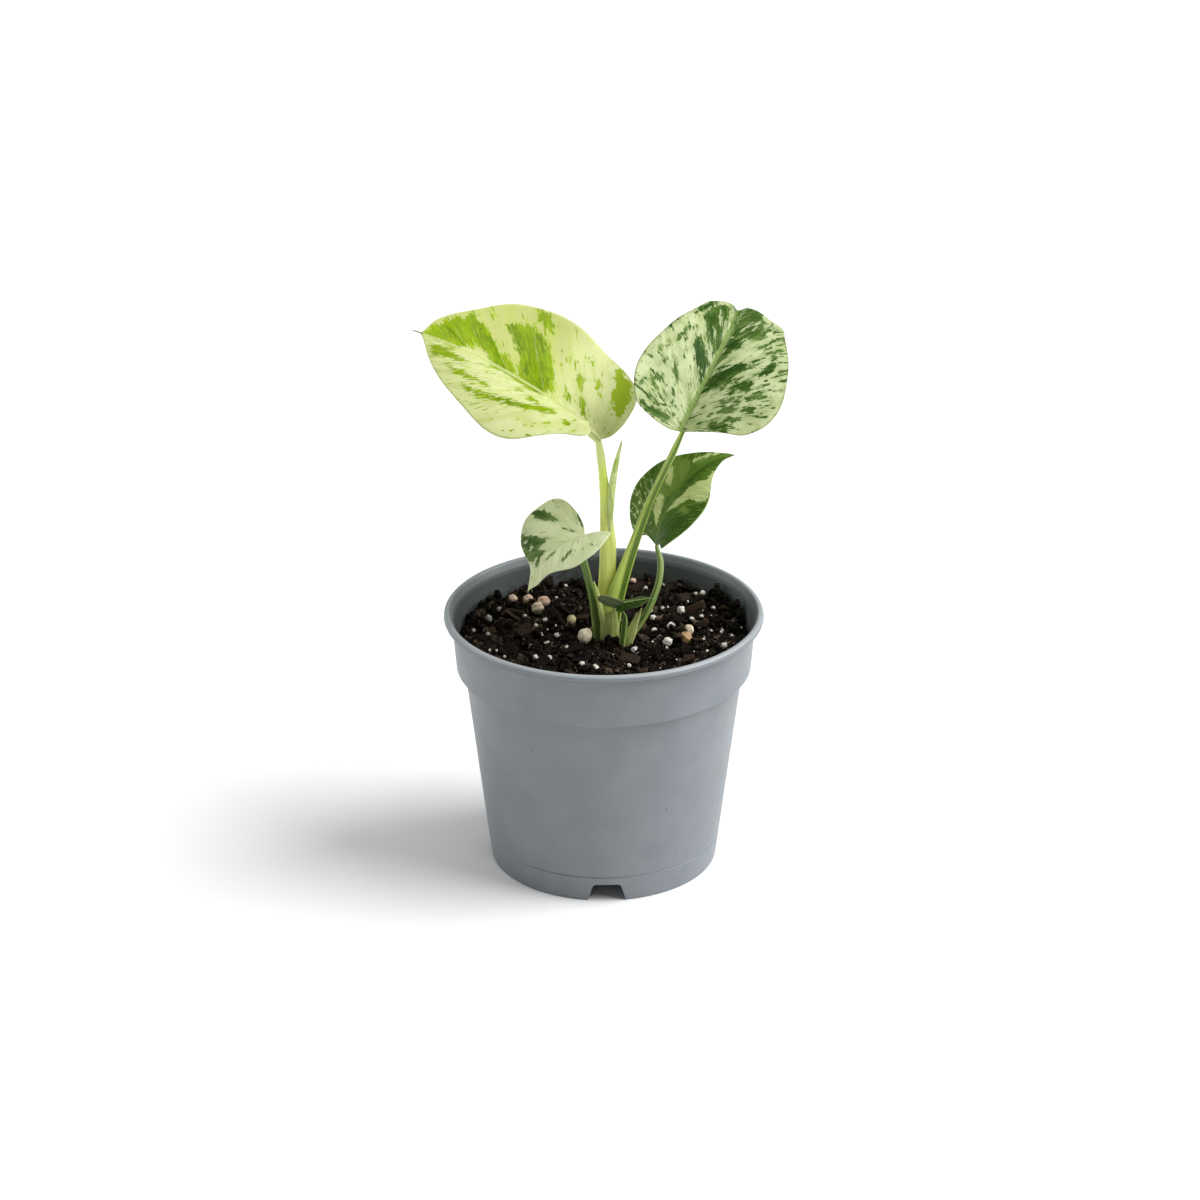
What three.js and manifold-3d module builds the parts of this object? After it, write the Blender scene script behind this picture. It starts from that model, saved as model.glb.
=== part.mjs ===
// A young variegated monstera with five open leaves, in a 12 cm nursery pot.
// Millimetres, Z up. The origin is on the pot's axis, on the surface that the pot stands on,
// and the front of the plant looks along -Y.

import * as THREE from 'three';
import { mergeVertices } from 'three/addons/utils/BufferGeometryUtils.js';
import Module from 'manifold-3d';

const wasm = await Module();
wasm.setup();

// Shared sizes
const CLEARANCE = 0.35; // gap kept between neighbouring pieces
const BLADE_THICKNESS = 0.7;
const TIP_HALF_WIDTH = 0.7; // where a blade runs out into its drip tip

// Pot: a thin moulding with a tapered wall, a stepped collar and a rolled rim
const POT_HEIGHT = 100.5;
const POT_WALL = 1.0;
const BASE_RADIUS = 43; // outside, where the wall meets the ground
const NECK_RADIUS = 52.4; // outside, just under the collar
const COLLAR_FOOT = 77.5; // height of the collar's lower edge
const COLLAR_LOW_RADIUS = 55.4;
const COLLAR_HIGH_RADIUS = 57;
const COLLAR_STEP = 0.8; // height of the slanted step under the collar
const RIM_RADIUS = 60;
const RIM_HEIGHT = 2.8;
const RIM_INNER_RADIUS = 57.4;
const STEP_LINE_HEIGHT = 10.3;
const STEP_LINE_DEPTH = 0.35;
const FLOOR_UNDERSIDE = 8;
const FLOOR_THICKNESS = 1.2;
const FOOT_WALL = 1.9;
const POT_SIDES = 60;

// Foot notches and drainage holes
const NOTCHES = 4;
const NOTCH_HEIGHT = 7.2;
const NOTCH_TOP_WIDTH = 10.3;
const NOTCH_BOTTOM_WIDTH = 13.9;
const NOTCH_TURN = 1.6; // degrees from the front
const DRAIN_HOLES = 8;
const DRAIN_RADIUS = 4;
const DRAIN_RING_RADIUS = 29;

// Potting mix
const MIX_LEVEL = 89.5;
const MIX_LUMP_HEIGHT = 1.2;
const MIX_SIDES = 44;
const MIX_RINGS = [46, 40, 33, 26, 19, 12, 6];

// Each blade is drawn flat, as a midrib with a margin on each side, and then bent.
// Angles are in degrees. Yaw and pitch aim the midrib where it leaves the stalk, and roll tips the
// blade about it. Droop bends the midrib down, by two amounts that grow with the distance and with
// its square. Fold lifts each half, curl bends it on towards its edge, and flatten and twist grow
// towards the tip.
const LEAVES = {
  leaf_1: {
    base: [-2.0, 0.8, 168.3],
    yaw: 172,
    pitch: 43.5,
    roll: 59.5,
    length: 81,
    halfWidth: 34,
    widest: 0.16,
    taper: [0.97, 0.59, 0.29],
    left: {
      width: 1.06,
      lobe: 0,
      fold: -14,
      curl: -20,
      foot: [[-0.8, 1.4], [1.5, 2.6], [6, 3.4], [10.3, 20], [12, 37], [21, 32.8]],
    },
    right: { width: 1.12, lobe: 4.7, fold: 67.5, curl: 26.5 },
    droop: [32.5, -3.5],
    flatten: -50,
    twist: -52,
    dripTip: 2,
    waves: { count: 3, height: 0.5 },
  },

  leaf_2: {
    base: [28.9, 1, 171.4],
    yaw: 59.5,
    pitch: 37.5,
    roll: 25,
    length: 73.5,
    halfWidth: 31.2,
    widest: 0.18,
    taper: [0.8, 0.57, 0.43],
    left: { width: 0.89, lobe: 3.7, fold: 36, curl: -3.5 },
    right: { width: 1.1, lobe: 0.2, fold: 47.5, curl: -15.5 },
    droop: [-14.5, 70],
    flatten: -48,
    twist: 1.5,
    dripTip: 1,
    waves: { count: 4, height: 0.4 },
  },
  leaf_3: {
    base: [19.7, 7.8, 123.4],
    yaw: 57.5,
    pitch: 65.5,
    roll: -42.5,
    length: 48,
    halfWidth: 22,
    widest: 0.24,
    taper: [0.69, 0.29, 0.09],
    left: { width: 1.03, lobe: -3.4, fold: 1, curl: 6.5 },
    right: { width: 1.06, lobe: -1, fold: 18, curl: -14.5 },
    droop: [25.5, 49],
    flatten: -5.5,
    twist: 72,
    dripTip: 1,
    waves: { count: 3, height: 0.3 },
  },

  leaf_4: {
    base: [-7.1, -5.8, 132.6],
    yaw: 221.5,
    pitch: 5,
    roll: 0.5,
    length: 33.8,
    halfWidth: 18,
    widest: 0.19,
    taper: [0.85, 0.36, 0.2],
    left: { width: 0.92, lobe: 0.6, fold: 37, curl: -39 },
    right: { width: 1.21, lobe: 4.5, fold: 12.5, curl: 25 },
    droop: [35, 42.5],
    flatten: -57.5,
    twist: 4.5,
    dripTip: 0.5,
    waves: { count: 3, height: 0.3 },
  },

  leaf_5: {
    base: [4.9, -12.2, 107.8],
    yaw: -14,
    pitch: 22,
    roll: 0,
    length: 13.5,
    halfWidth: 4.8,
    widest: 0.5,
    taper: [0.85, 0.6, 0.3],
    left: { width: 1, lobe: 0, fold: -8, curl: 0 },
    right: { width: 1, lobe: -1, fold: -15, curl: 0 },
    droop: [4, 8],
    flatten: 0,
    twist: 0,
    dripTip: 0.5,
    waves: { count: 2, height: 0.2 },
  },
};

// A blunt scale leaf that grows from the joint of the smallest blade and stands on edge beside it
const SCALE_LEAF = {
  base: [7, -13.5, 108],
  yaw: 182,
  pitch: 20,
  roll: 66,
  length: 9.8,
  halfWidth: 2.6,
  widest: 0.55,
  taper: [0.95, 0.8, 0.6],
  left: { width: 1, lobe: 0, fold: 0, curl: 0 },
  right: { width: 1, lobe: 0, fold: 0, curl: 0 },
  droop: [4, -14],
  flatten: 0,
  twist: 0,
  dripTip: 0.2,
  waves: { count: 1, height: 0.1 },
};

// Each stalk is a route of hand-placed points, from the crown up to the neck under its blade. Radii
// and the width of the sheath's wing are spread evenly along it, and the wing lies on one side.
const STALKS = {
  leaf_1: {
    route: [[1.2, -0.6, 84.6], [0.5, 0, 92], [0.7, 0, 104.3], [1.2, 0.2, 120.5], [0.6, 0.4, 136.6],
      [-0.2, 0.6, 152.5], [-1.1, 0.8, 161.5]],
    radii: [2.9, 3.2, 3.2, 3, 2.5, 1.75, 1.55, 1.6],
    wing: [0, 0, 0, 0.4, 1.2, 0.6, 0, 0],
    wingSide: [1, -0.3, 0],
    neck: 1.2,
  },
  leaf_2: {
    route: [[3.4, -3.4, 84.8], [3.6, -2.5, 93.1], [5, -2, 102.7], [7.4, -1.5, 113.1],
      [10.7, -1, 125.1], [14.4, -0.3, 136.9], [18.9, 0.3, 148.6], [25.1, 0.6, 162.4]],
    radii: [2.2, 2.3, 2.2, 2.0, 1.9, 1.8, 1.6, 1.35, 1.3],
    wing: [2.5, 3.2, 3.2, 2.6, 1.4, 0.3, 0, 0, 0],
    wingSide: [-0.8, -0.6, 0],
    neck: 0.9,
  },
  leaf_3: {
    route: [[5.6, -5.6, 85], [7.2, -6.6, 89], [11.7, -6, 94.7], [16.5, -4.5, 102.2],
      [20.2, -1, 110.9], [21.2, 3.4, 117.6]],
    radii: [1.5, 1.5, 1.45, 1.35, 1.3, 1.25, 1.2],
    wing: [1.2, 1.6, 1.4, 0.3, 0, 0, 0],
    wingSide: [-0.4, -0.2, 1],
    neck: 0.8,
  },
  leaf_4: {
    route: [[-0.8, -3.9, 84.8], [-2.3, -4.3, 91], [-4, -3.4, 105.2], [-6.2, -2.2, 115.4],
      [-7.9, -1.8, 123.3]],
    radii: [1.5, 1.5, 1.45, 1.4, 1.4, 1.3],
    wing: [0.6, 0.9, 0.4, 0, 0, 0],
    wingSide: [1, 0, 0],
    neck: 0.8,
  },
  leaf_5: {
    route: [[6.9, -10.4, 85.4], [6.8, -10.6, 90], [7.6, -11, 98], [7.7, -11.2, 102.8]],
    radii: [0.9, 1, 1.1, 1.1, 0.6],
    wing: [0, 0, 0, 0, 0],
    wingSide: [-1, 0, 0],
    neck: 0.4,
  },
};

const NEW_LEAF = {
  route: [[2.1, -0.9, 128.7], [2.5, -0.9, 140.7], [3.2, -0.4, 150.6], [4.6, 0.4, 159.5],
    [6.7, 1.5, 168]],
  radii: [0.7, 1.3, 1.5, 1.1, 0.35],
};

const BUD_SHEATH = {
  route: [[0.9, -6.3, 85.6], [0.5, -6.4, 94], [-0.9, -6.1, 102], [-2.1, -5.4, 108.5],
    [-3.7, -4.6, 113.8]],
  radii: [1.3, 1.3, 1.15, 0.8, 0.3],
};

// The buried crown and its main roots
const CROWN_ROUTE = [[3, -4, 58], [3, -4, 66], [2.8, -4, 75], [2.8, -4, 83.5]];
const CROWN_RADII = [1.2, 4.2, 6, 6.6];
const ROOTS = 6;
const ROOT_RADII = [1.7, 1.3, 0.9, 0.5];

// Pale pebbles in the mix, as place and radius, and the counts of the smaller scattered grains
const PEBBLES = [
  { at: [-25.5, 25.5], radius: 3.0 },
  { at: [-21.5, 30.5], radius: 2.6 },
  { at: [-29.5, 34], radius: 2.2 },
  { at: [-34.4, 32], radius: 1.6 },
  { at: [-12.4, 17.2], radius: 2.2 },
  { at: [-8.2, -2.6], radius: 3.2 },
  { at: [29.5, 21.3], radius: 1.9 },
  { at: [33, 5.4], radius: 2.1 },
  { at: [30.6, -4], radius: 2.3 },
  { at: [24, -8.6], radius: 2.1 },
  { at: [13.6, -15.4], radius: 1.9 },
  { at: [-3.2, -29.5], radius: 1.9 },
  { at: [25.4, 8.2], radius: 1.9 },
  { at: [44.9, -10.1], radius: 1.9 },
  { at: [10, 45.5], radius: 1.6 },
];
const PERLITE_GRAINS = 30;
const CLODS = 12;
const BARK_BITS = 12;
const SEED = 20;

const DEGREE = Math.PI / 180;

// Solids

// Turns a three.js geometry into a solid whose triangles share their corners
function toSolid(geometry) {
  const bare = new THREE.BufferGeometry();
  bare.setAttribute('position', geometry.getAttribute('position'));
  bare.setIndex(geometry.getIndex());
  const merged = mergeVertices(bare, 1e-4);
  const corners = merged.getIndex().array;
  const kept = [];
  for (let i = 0; i < corners.length; i += 3) {
    const [a, b, c] = corners.slice(i, i + 3);
    if (a !== b && b !== c && c !== a) kept.push(a, b, c);
  }
  return new wasm.Manifold(new wasm.Mesh({
    numProp: 3,
    vertProperties: new Float32Array(merged.getAttribute('position').array),
    triVerts: new Uint32Array(kept),
  }));
}

function toGeometry(solid) {
  const mesh = solid.getMesh();
  const geometry = new THREE.BufferGeometry();
  geometry.setAttribute('position', new THREE.BufferAttribute(mesh.vertProperties, 3));
  geometry.setIndex(new THREE.BufferAttribute(mesh.triVerts, 1));
  return geometry;
}

// Cuts can leave loose scraps, and only the main body is kept
function mainBody(solid) {
  const bodies = solid.decompose();
  bodies.sort((a, b) => b.volume() - a.volume());
  return bodies[0];
}

// Seeded random numbers from 0 to 1
function makeRandom(seed) {
  let state = seed;
  return () => {
    state = (state * 1664525 + 1013904223) % 4294967296;
    return state / 4294967296;
  };
}

// Reads a list of values that are spread evenly along a route
function spread(values, t) {
  const place = Math.min(t, 0.999999) * (values.length - 1);
  const index = Math.floor(place);
  return THREE.MathUtils.lerp(values[index], values[index + 1], place - index);
}

// Pot

function wallRadius(z) {
  return THREE.MathUtils.mapLinear(z, 0, COLLAR_FOOT, BASE_RADIUS, NECK_RADIUS);
}

// The inside of the pot from the floor to under the rim, as radius and height
function insideOutline(inset) {
  const floorTop = FLOOR_UNDERSIDE + FLOOR_THICKNESS;
  const shift = POT_WALL + inset;
  return [
    [wallRadius(floorTop) - shift, floorTop + inset],
    [NECK_RADIUS - shift, COLLAR_FOOT + inset],
    [COLLAR_LOW_RADIUS - shift, COLLAR_FOOT + COLLAR_STEP + POT_WALL + inset],
    [COLLAR_HIGH_RADIUS - shift, POT_HEIGHT - RIM_HEIGHT - 1],
  ];
}

function potProfile() {
  const rimFoot = POT_HEIGHT - RIM_HEIGHT;
  const outside = [
    [0, FLOOR_UNDERSIDE],
    [wallRadius(FLOOR_UNDERSIDE) - FOOT_WALL, FLOOR_UNDERSIDE],
    [BASE_RADIUS - FOOT_WALL, 0],
    [BASE_RADIUS, 0],
    [wallRadius(STEP_LINE_HEIGHT - 0.4), STEP_LINE_HEIGHT - 0.4],
    [wallRadius(STEP_LINE_HEIGHT) - STEP_LINE_DEPTH, STEP_LINE_HEIGHT],
    [wallRadius(STEP_LINE_HEIGHT + 0.4), STEP_LINE_HEIGHT + 0.4],
    [NECK_RADIUS, COLLAR_FOOT],
    [COLLAR_LOW_RADIUS, COLLAR_FOOT + COLLAR_STEP],
    [COLLAR_HIGH_RADIUS, rimFoot],
    [RIM_RADIUS - 0.3, rimFoot + 0.2],
    [RIM_RADIUS, rimFoot + 0.9],
    [RIM_RADIUS - 0.2, POT_HEIGHT - 0.7],
    [RIM_RADIUS - 1, POT_HEIGHT],
    [RIM_INNER_RADIUS + 0.5, POT_HEIGHT],
    [RIM_INNER_RADIUS, POT_HEIGHT - 0.5],
  ];
  const inside = insideOutline(0).reverse();
  const axis = [[0, FLOOR_UNDERSIDE + FLOOR_THICKNESS]];
  return [...outside, ...inside, ...axis].map(([r, z]) => new THREE.Vector2(r, z));
}

// LatheGeometry turns about Y, so its axis is laid along Z
function turned(profile, sides) {
  return new THREE.LatheGeometry(profile, sides).rotateX(Math.PI / 2);
}

function notchCutter() {
  const halfTop = NOTCH_TOP_WIDTH / 2;
  const halfBottom = NOTCH_BOTTOM_WIDTH / 2;
  const overlap = 1;
  const flare = ((halfBottom - halfTop) / NOTCH_HEIGHT) * overlap;
  const outline = new THREE.Shape([
    new THREE.Vector2(-halfBottom - flare, -overlap),
    new THREE.Vector2(halfBottom + flare, -overlap),
    new THREE.Vector2(halfTop, NOTCH_HEIGHT),
    new THREE.Vector2(-halfTop, NOTCH_HEIGHT),
  ]);
  const depth = FOOT_WALL * 4;
  return new THREE.ExtrudeGeometry(outline, { depth, bevelEnabled: false })
    .rotateX(Math.PI / 2)
    .translate(0, -BASE_RADIUS + depth / 2, 0);
}

function makePot() {
  let pot = toSolid(turned(potProfile(), POT_SIDES));
  for (let i = 0; i < NOTCHES; i++) {
    const turn = NOTCH_TURN * DEGREE + (i * 2 * Math.PI) / NOTCHES;
    pot = pot.subtract(toSolid(notchCutter().rotateZ(turn)));
  }
  for (let i = 0; i < DRAIN_HOLES; i++) {
    const hole = new THREE.CylinderGeometry(DRAIN_RADIUS, DRAIN_RADIUS, FLOOR_THICKNESS * 3, 12)
      .rotateX(Math.PI / 2)
      .translate(DRAIN_RING_RADIUS, 0, FLOOR_UNDERSIDE + FLOOR_THICKNESS / 2)
      .rotateZ(((i + 0.5) * 2 * Math.PI) / DRAIN_HOLES);
    pot = pot.subtract(toSolid(hole));
  }
  return pot;
}

// Blades

function bladeLength(leaf) {
  return leaf.length + leaf.dripTip;
}

// Where a side has a foot, its margin is paced so that the rows of the grid never cross: each pair
// gives the share of the rows and the share of the margin that is reached there
const FOOT_PACE = [
  [0, 0],
  [0.2222, 0.235],
  [0.2738, 0.285],
  [0.3009, 0.3636],
  [0.3122, 0.4545],
  [0.36, 0.49],
  [0.4444, 0.5455],
  [1, 1],
];

function footPace(t) {
  const next = Math.max(1, FOOT_PACE.findIndex(([rows]) => rows >= t));
  const [from, to] = [FOOT_PACE[next - 1], FOOT_PACE[next]];
  return THREE.MathUtils.mapLinear(t, from[0], to[0], from[1], to[1]);
}

// The flat margin on one side: distance along the midrib, and distance out from it. A side whose
// lower margin isn't a rounded lobe names the six corners of its foot instead
function marginCurve(leaf, side) {
  const w = leaf.halfWidth * side.width;
  const rest = 1 - leaf.widest;
  const along = (share) => (leaf.widest + rest * share) * leaf.length;
  const foot = side.foot ?? [
    [-0.75 * side.lobe, 0.22 * w],
    [-side.lobe, 0.55 * w],
    [-0.35 * side.lobe, 0.88 * w],
    [leaf.widest * leaf.length, w],
  ];
  const points = [
    [0, 0],
    ...foot,
    [along(0.36), leaf.taper[0] * w],
    [along(0.66), leaf.taper[1] * w],
    [along(0.86), leaf.taper[2] * w],
    [leaf.length * 0.975, TIP_HALF_WIDTH],
    [bladeLength(leaf), 0],
  ];
  return new THREE.SplineCurve(points.map(([s, out]) => new THREE.Vector2(s, out)));
}

function droopAngle(leaf, s) {
  const x = s / leaf.length;
  return (leaf.droop[0] * x + (x > 0 ? leaf.droop[1] * x * x : 0)) * DEGREE;
}

// The midrib's place at a distance from the stalk, with its forward, side and up directions
function midribFrame(leaf, s) {
  const yaw = leaf.yaw * DEGREE;
  const pitch = leaf.pitch * DEGREE;
  const forward = new THREE.Vector3(
    Math.cos(yaw) * Math.cos(pitch),
    Math.sin(yaw) * Math.cos(pitch),
    Math.sin(pitch),
  );
  const side = new THREE.Vector3(-Math.sin(yaw), Math.cos(yaw), 0);
  side.applyAxisAngle(forward, leaf.roll * DEGREE);
  const up = forward.clone().cross(side);
  const steps = 24;
  const point = new THREE.Vector3(...leaf.base);
  for (let i = 0; i < steps; i++) {
    const angle = droopAngle(leaf, (s * (i + 0.5)) / steps);
    point.addScaledVector(forward, (Math.cos(angle) * s) / steps);
    point.addScaledVector(up, (-Math.sin(angle) * s) / steps);
  }
  const angle = droopAngle(leaf, s);
  forward.applyAxisAngle(side, angle);
  up.applyAxisAngle(side, angle);
  const twist = ((leaf.twist * s) / leaf.length) * DEGREE;
  side.applyAxisAngle(forward, twist);
  up.applyAxisAngle(forward, twist);
  return { point, forward, side, up };
}

// Bends a flat point of the blade into place; out is above zero on the left half
function bladePoint(leaf, s, out) {
  const { point, side, up } = midribFrame(leaf, s);
  const half = out >= 0 ? leaf.left : leaf.right;
  const reach = Math.abs(out) / leaf.halfWidth;
  const x = s / leaf.length;
  const fold = (half.fold + leaf.flatten * x + 0.5 * half.curl * reach) * DEGREE;
  const wave = leaf.waves.height * reach * reach
    * Math.sin(2 * Math.PI * leaf.waves.count * x + (out >= 0 ? 0 : 2));
  point.addScaledVector(side, out * Math.cos(fold));
  point.addScaledVector(up, Math.abs(out) * Math.sin(fold) + wave);
  return point;
}

// A grid of stations from the stalk to the tip on each half, welded along the midrib
function bladeSurface(leaf, stations, steps) {
  const fanShare = 2 / 9; // the part of the margin that fans out round the stalk
  const positions = [];
  const corners = [];
  for (const [half, sign] of [[leaf.left, 1], [leaf.right, -1]]) {
    const margin = marginCurve(leaf, half);
    const first = positions.length / 3;
    for (let i = 0; i <= stations; i++) {
      const t = i / stations;
      const edge = margin.getPoint(half.foot ? footPace(t) : t);
      const rib = bladeLength(leaf) * Math.max(0, (t - fanShare) / (1 - fanShare));
      for (let j = 0; j <= steps; j++) {
        const v = j / steps;
        const s = THREE.MathUtils.lerp(rib, edge.x, v);
        positions.push(...bladePoint(leaf, s, sign * edge.y * v));
      }
    }
    for (let i = 0; i < stations; i++) {
      for (let j = 0; j < steps; j++) {
        const a = first + i * (steps + 1) + j;
        const b = a + steps + 1;
        const quad = [a, b, b + 1, a, b + 1, a + 1];
        corners.push(...(sign > 0 ? quad : quad.reverse()));
      }
    }
  }
  const surface = new THREE.BufferGeometry();
  surface.setAttribute('position', new THREE.Float32BufferAttribute(positions, 3));
  surface.setIndex(corners);
  return mergeVertices(surface, 1e-3);
}

// Gives a surface a thickness, with walls along its open edges
function thicken(surface, thickness) {
  surface.computeVertexNormals();
  const place = surface.getAttribute('position');
  const normal = surface.getAttribute('normal');
  const count = place.count;
  const positions = [];
  for (const sign of [1, -1]) {
    for (let i = 0; i < count; i++) {
      const point = new THREE.Vector3().fromBufferAttribute(place, i);
      const away = new THREE.Vector3().fromBufferAttribute(normal, i);
      positions.push(...point.addScaledVector(away, (sign * thickness) / 2));
    }
  }
  const index = surface.getIndex().array;
  const corners = [];
  const edges = new Set();
  for (let i = 0; i < index.length; i += 3) {
    const [a, b, c] = index.slice(i, i + 3);
    if (a === b || b === c || c === a) continue;
    corners.push(a, b, c, c + count, b + count, a + count);
    for (const [from, to] of [[a, b], [b, c], [c, a]]) edges.add(`${from} ${to}`);
  }
  for (const edge of edges) {
    const [a, b] = edge.split(' ').map(Number);
    if (edges.has(`${b} ${a}`)) continue;
    corners.push(b, a, a + count, b, a + count, b + count);
  }
  const solid = new THREE.BufferGeometry();
  solid.setAttribute('position', new THREE.Float32BufferAttribute(positions, 3));
  solid.setIndex(corners);
  return solid;
}

function makeBlade(leaf, stations, steps) {
  return toSolid(thicken(bladeSurface(leaf, stations, steps), BLADE_THICKNESS));
}

// Stalks

// A closed tube along a route. Grow makes it fatter and its foot longer, for the hole it stands in
function tube({ route, radii, wing = [0, 0], wingSide = [1, 0, 0] }, sides, stations, grow = 0) {
  const curve = new THREE.CatmullRomCurve3(
    route.map((p) => new THREE.Vector3(...p)), false, 'catmullrom', 0.5,
  );
  const positions = [];
  const corners = [];
  for (let i = 0; i <= stations; i++) {
    const t = i / stations;
    const centre = curve.getPoint(t);
    const along = curve.getTangent(t);
    if (i === 0) centre.addScaledVector(along, -3 * grow);
    if (i === stations) centre.addScaledVector(along, grow);
    const across = new THREE.Vector3(...wingSide).projectOnPlane(along).normalize();
    const other = along.clone().cross(across);
    const radius = spread(radii, t) + grow;
    const wingWidth = spread(wing, t);
    for (let k = 0; k < sides; k++) {
      const angle = (k * 2 * Math.PI) / sides;
      const reach = radius + wingWidth * Math.max(0, Math.cos(angle)) ** 6;
      const point = centre.clone()
        .addScaledVector(across, reach * Math.cos(angle))
        .addScaledVector(other, reach * Math.sin(angle));
      positions.push(...point);
    }
  }
  const ends = [0, stations].map((station) => {
    const centre = new THREE.Vector3();
    for (let k = 0; k < sides; k++) {
      const at = (station * sides + k) * 3;
      centre.add(new THREE.Vector3(...positions.slice(at, at + 3)).divideScalar(sides));
    }
    return centre;
  });
  positions.push(...ends[0], ...ends[1]);
  const bottom = (stations + 1) * sides;
  for (let k = 0; k < sides; k++) {
    const next = (k + 1) % sides;
    for (let i = 0; i < stations; i++) {
      const a = i * sides + k;
      const b = i * sides + next;
      corners.push(a, b, b + sides, a, b + sides, a + sides);
    }
    corners.push(bottom, next, k);
    corners.push(bottom + 1, stations * sides + k, stations * sides + next);
  }
  const geometry = new THREE.BufferGeometry();
  geometry.setAttribute('position', new THREE.Float32BufferAttribute(positions, 3));
  geometry.setIndex(corners);
  return toSolid(geometry);
}

// A stalk ends in a narrow neck, just short of the point where its blade begins
function withNeck(leaf, stalk) {
  const base = new THREE.Vector3(...leaf.base);
  const back = new THREE.Vector3(...stalk.route.at(-1)).sub(base).normalize();
  const gap = BLADE_THICKNESS / 2 + CLEARANCE;
  return {
    ...stalk,
    route: [...stalk.route, base.addScaledVector(back, gap).toArray()],
    radii: [...stalk.radii, stalk.neck],
    wing: [...stalk.wing, 0],
  };
}

// Potting mix

function mixHeight(x, y) {
  const lumps = Math.sin(x * 0.21 + 1) * Math.cos(y * 0.18 - 0.6)
    + 0.7 * Math.sin(x * 0.43 - y * 0.31 + 2)
    + 0.5 * Math.cos(x * 0.29 + y * 0.57);
  return MIX_LEVEL + MIX_LUMP_HEIGHT * lumps;
}

// A plug that fills the pot, with a lumpy top
function makePlug() {
  const side = insideOutline(CLEARANCE);
  const brim = MIX_LEVEL - 2;
  const [low, high] = side.slice(2);
  const brimRadius = THREE.MathUtils.mapLinear(brim, low[1], high[1], low[0], high[0]);
  const profile = [[0, side[0][1]], ...side.slice(0, 3), [brimRadius, brim]];
  for (const radius of [brimRadius - 1.5, ...MIX_RINGS, 0]) profile.push([radius, MIX_LEVEL]);
  const plug = turned(profile.map(([r, z]) => new THREE.Vector2(r, z)), MIX_SIDES);
  const place = plug.getAttribute('position');
  for (let i = 0; i < place.count; i++) {
    if (place.getZ(i) < MIX_LEVEL - 0.01) continue;
    place.setZ(i, mixHeight(place.getX(i), place.getY(i)));
  }
  return toSolid(plug);
}

// One lump with flat faces, squashed and turned, more than half sunk in the mix
function makeLump(random, shape, x, y, size, sunk) {
  shape.scale(size[0], size[1], size[2]);
  shape.rotateZ(random() * 2 * Math.PI);
  shape.rotateX((random() - 0.5) * 0.8);
  shape.translate(x, y, mixHeight(x, y) - sunk);
  return toSolid(shape);
}

// Draws a place in the pot that keeps off the wall, the stalks and the pebbles
function drawPlace(random, radius) {
  const limit = insideOutline(CLEARANCE)[2][0] - radius - 1;
  for (;;) {
    const x = (random() * 2 - 1) * limit;
    const y = (random() * 2 - 1) * limit;
    const nearStalks = Math.hypot(x - 3, y + 4) < 9 + radius;
    const nearPebble = PEBBLES.some((p) => Math.hypot(x - p.at[0], y - p.at[1]) < p.radius + radius);
    if (Math.hypot(x, y) < limit && !nearStalks && !nearPebble) return [x, y];
  }
}

function makeMix(holes) {
  const random = makeRandom(SEED);
  const pieces = [makePlug()];
  for (const { at, radius } of PEBBLES) {
    const size = [radius, radius * 0.9, radius * 0.85];
    pieces.push(makeLump(random, new THREE.IcosahedronGeometry(1, 0), ...at, size, -radius * 0.25));
  }
  for (let i = 0; i < CLODS; i++) {
    const radius = 2.5 + 3 * random();
    const [x, y] = drawPlace(random, radius);
    const size = [radius, radius * 0.8, radius * 0.6];
    pieces.push(makeLump(random, new THREE.IcosahedronGeometry(1, 0), x, y, size, radius * 0.15));
  }
  for (let i = 0; i < BARK_BITS; i++) {
    const length = 5 + 5 * random();
    const [x, y] = drawPlace(random, length / 2);
    const size = [length, 1.6 + random(), 1.2];
    pieces.push(makeLump(random, new THREE.BoxGeometry(1, 1, 1), x, y, size, 0));
  }
  for (let i = 0; i < PERLITE_GRAINS; i++) {
    const radius = 0.8 + 0.7 * random();
    const [x, y] = drawPlace(random, radius);
    const size = [radius, radius * 0.9, radius * 0.8];
    pieces.push(makeLump(random, new THREE.OctahedronGeometry(1, 0), x, y, size, -0.1));
  }
  return mainBody(wasm.Manifold.union(pieces).subtract(wasm.Manifold.union(holes)));
}

// The crown and its roots, which spread out and down below it
function makeCrown(grow) {
  const pieces = [tube({ route: CROWN_ROUTE, radii: CROWN_RADII }, 12, 6, grow)];
  for (let i = 0; i < ROOTS; i++) {
    const turn = ((i + 0.3) * 2 * Math.PI) / ROOTS;
    const reach = 20 + 8 * Math.sin(i * 2.4);
    const drop = 22 + 10 * Math.cos(i * 1.7);
    const [x, y, z] = [3, -4, 72 - 2 * (i % 3)];
    const at = (share, fall) => [
      x + reach * share * Math.cos(turn),
      y + reach * share * Math.sin(turn),
      z - drop * fall,
    ];
    const route = [at(0, 0), at(0.35, 0.1), at(0.75, 0.45), at(1, 1)];
    pieces.push(tube({ route, radii: ROOT_RADII }, 6, 7, grow));
  }
  return wasm.Manifold.union(pieces);
}

// Finishes

const FINISHES = {
  pot: { color: 0x8e969e, roughness: 0.5 },
  mix: { color: 0x2b211a, roughness: 0.95 },
  root: { color: 0xc9b58c, roughness: 0.8 },
  lime: { color: 0xc6d966, roughness: 0.45 },
  dark: { color: 0x7f9a5a, roughness: 0.45 },
  cream: { color: 0xd3dbae, roughness: 0.45 },
  limeStalk: { color: 0xb4cf5c, roughness: 0.5 },
  greenStalk: { color: 0x6f8f3a, roughness: 0.5 },
  paleStalk: { color: 0xcfdb9a, roughness: 0.55 },
};

const plant = new THREE.Group();

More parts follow.
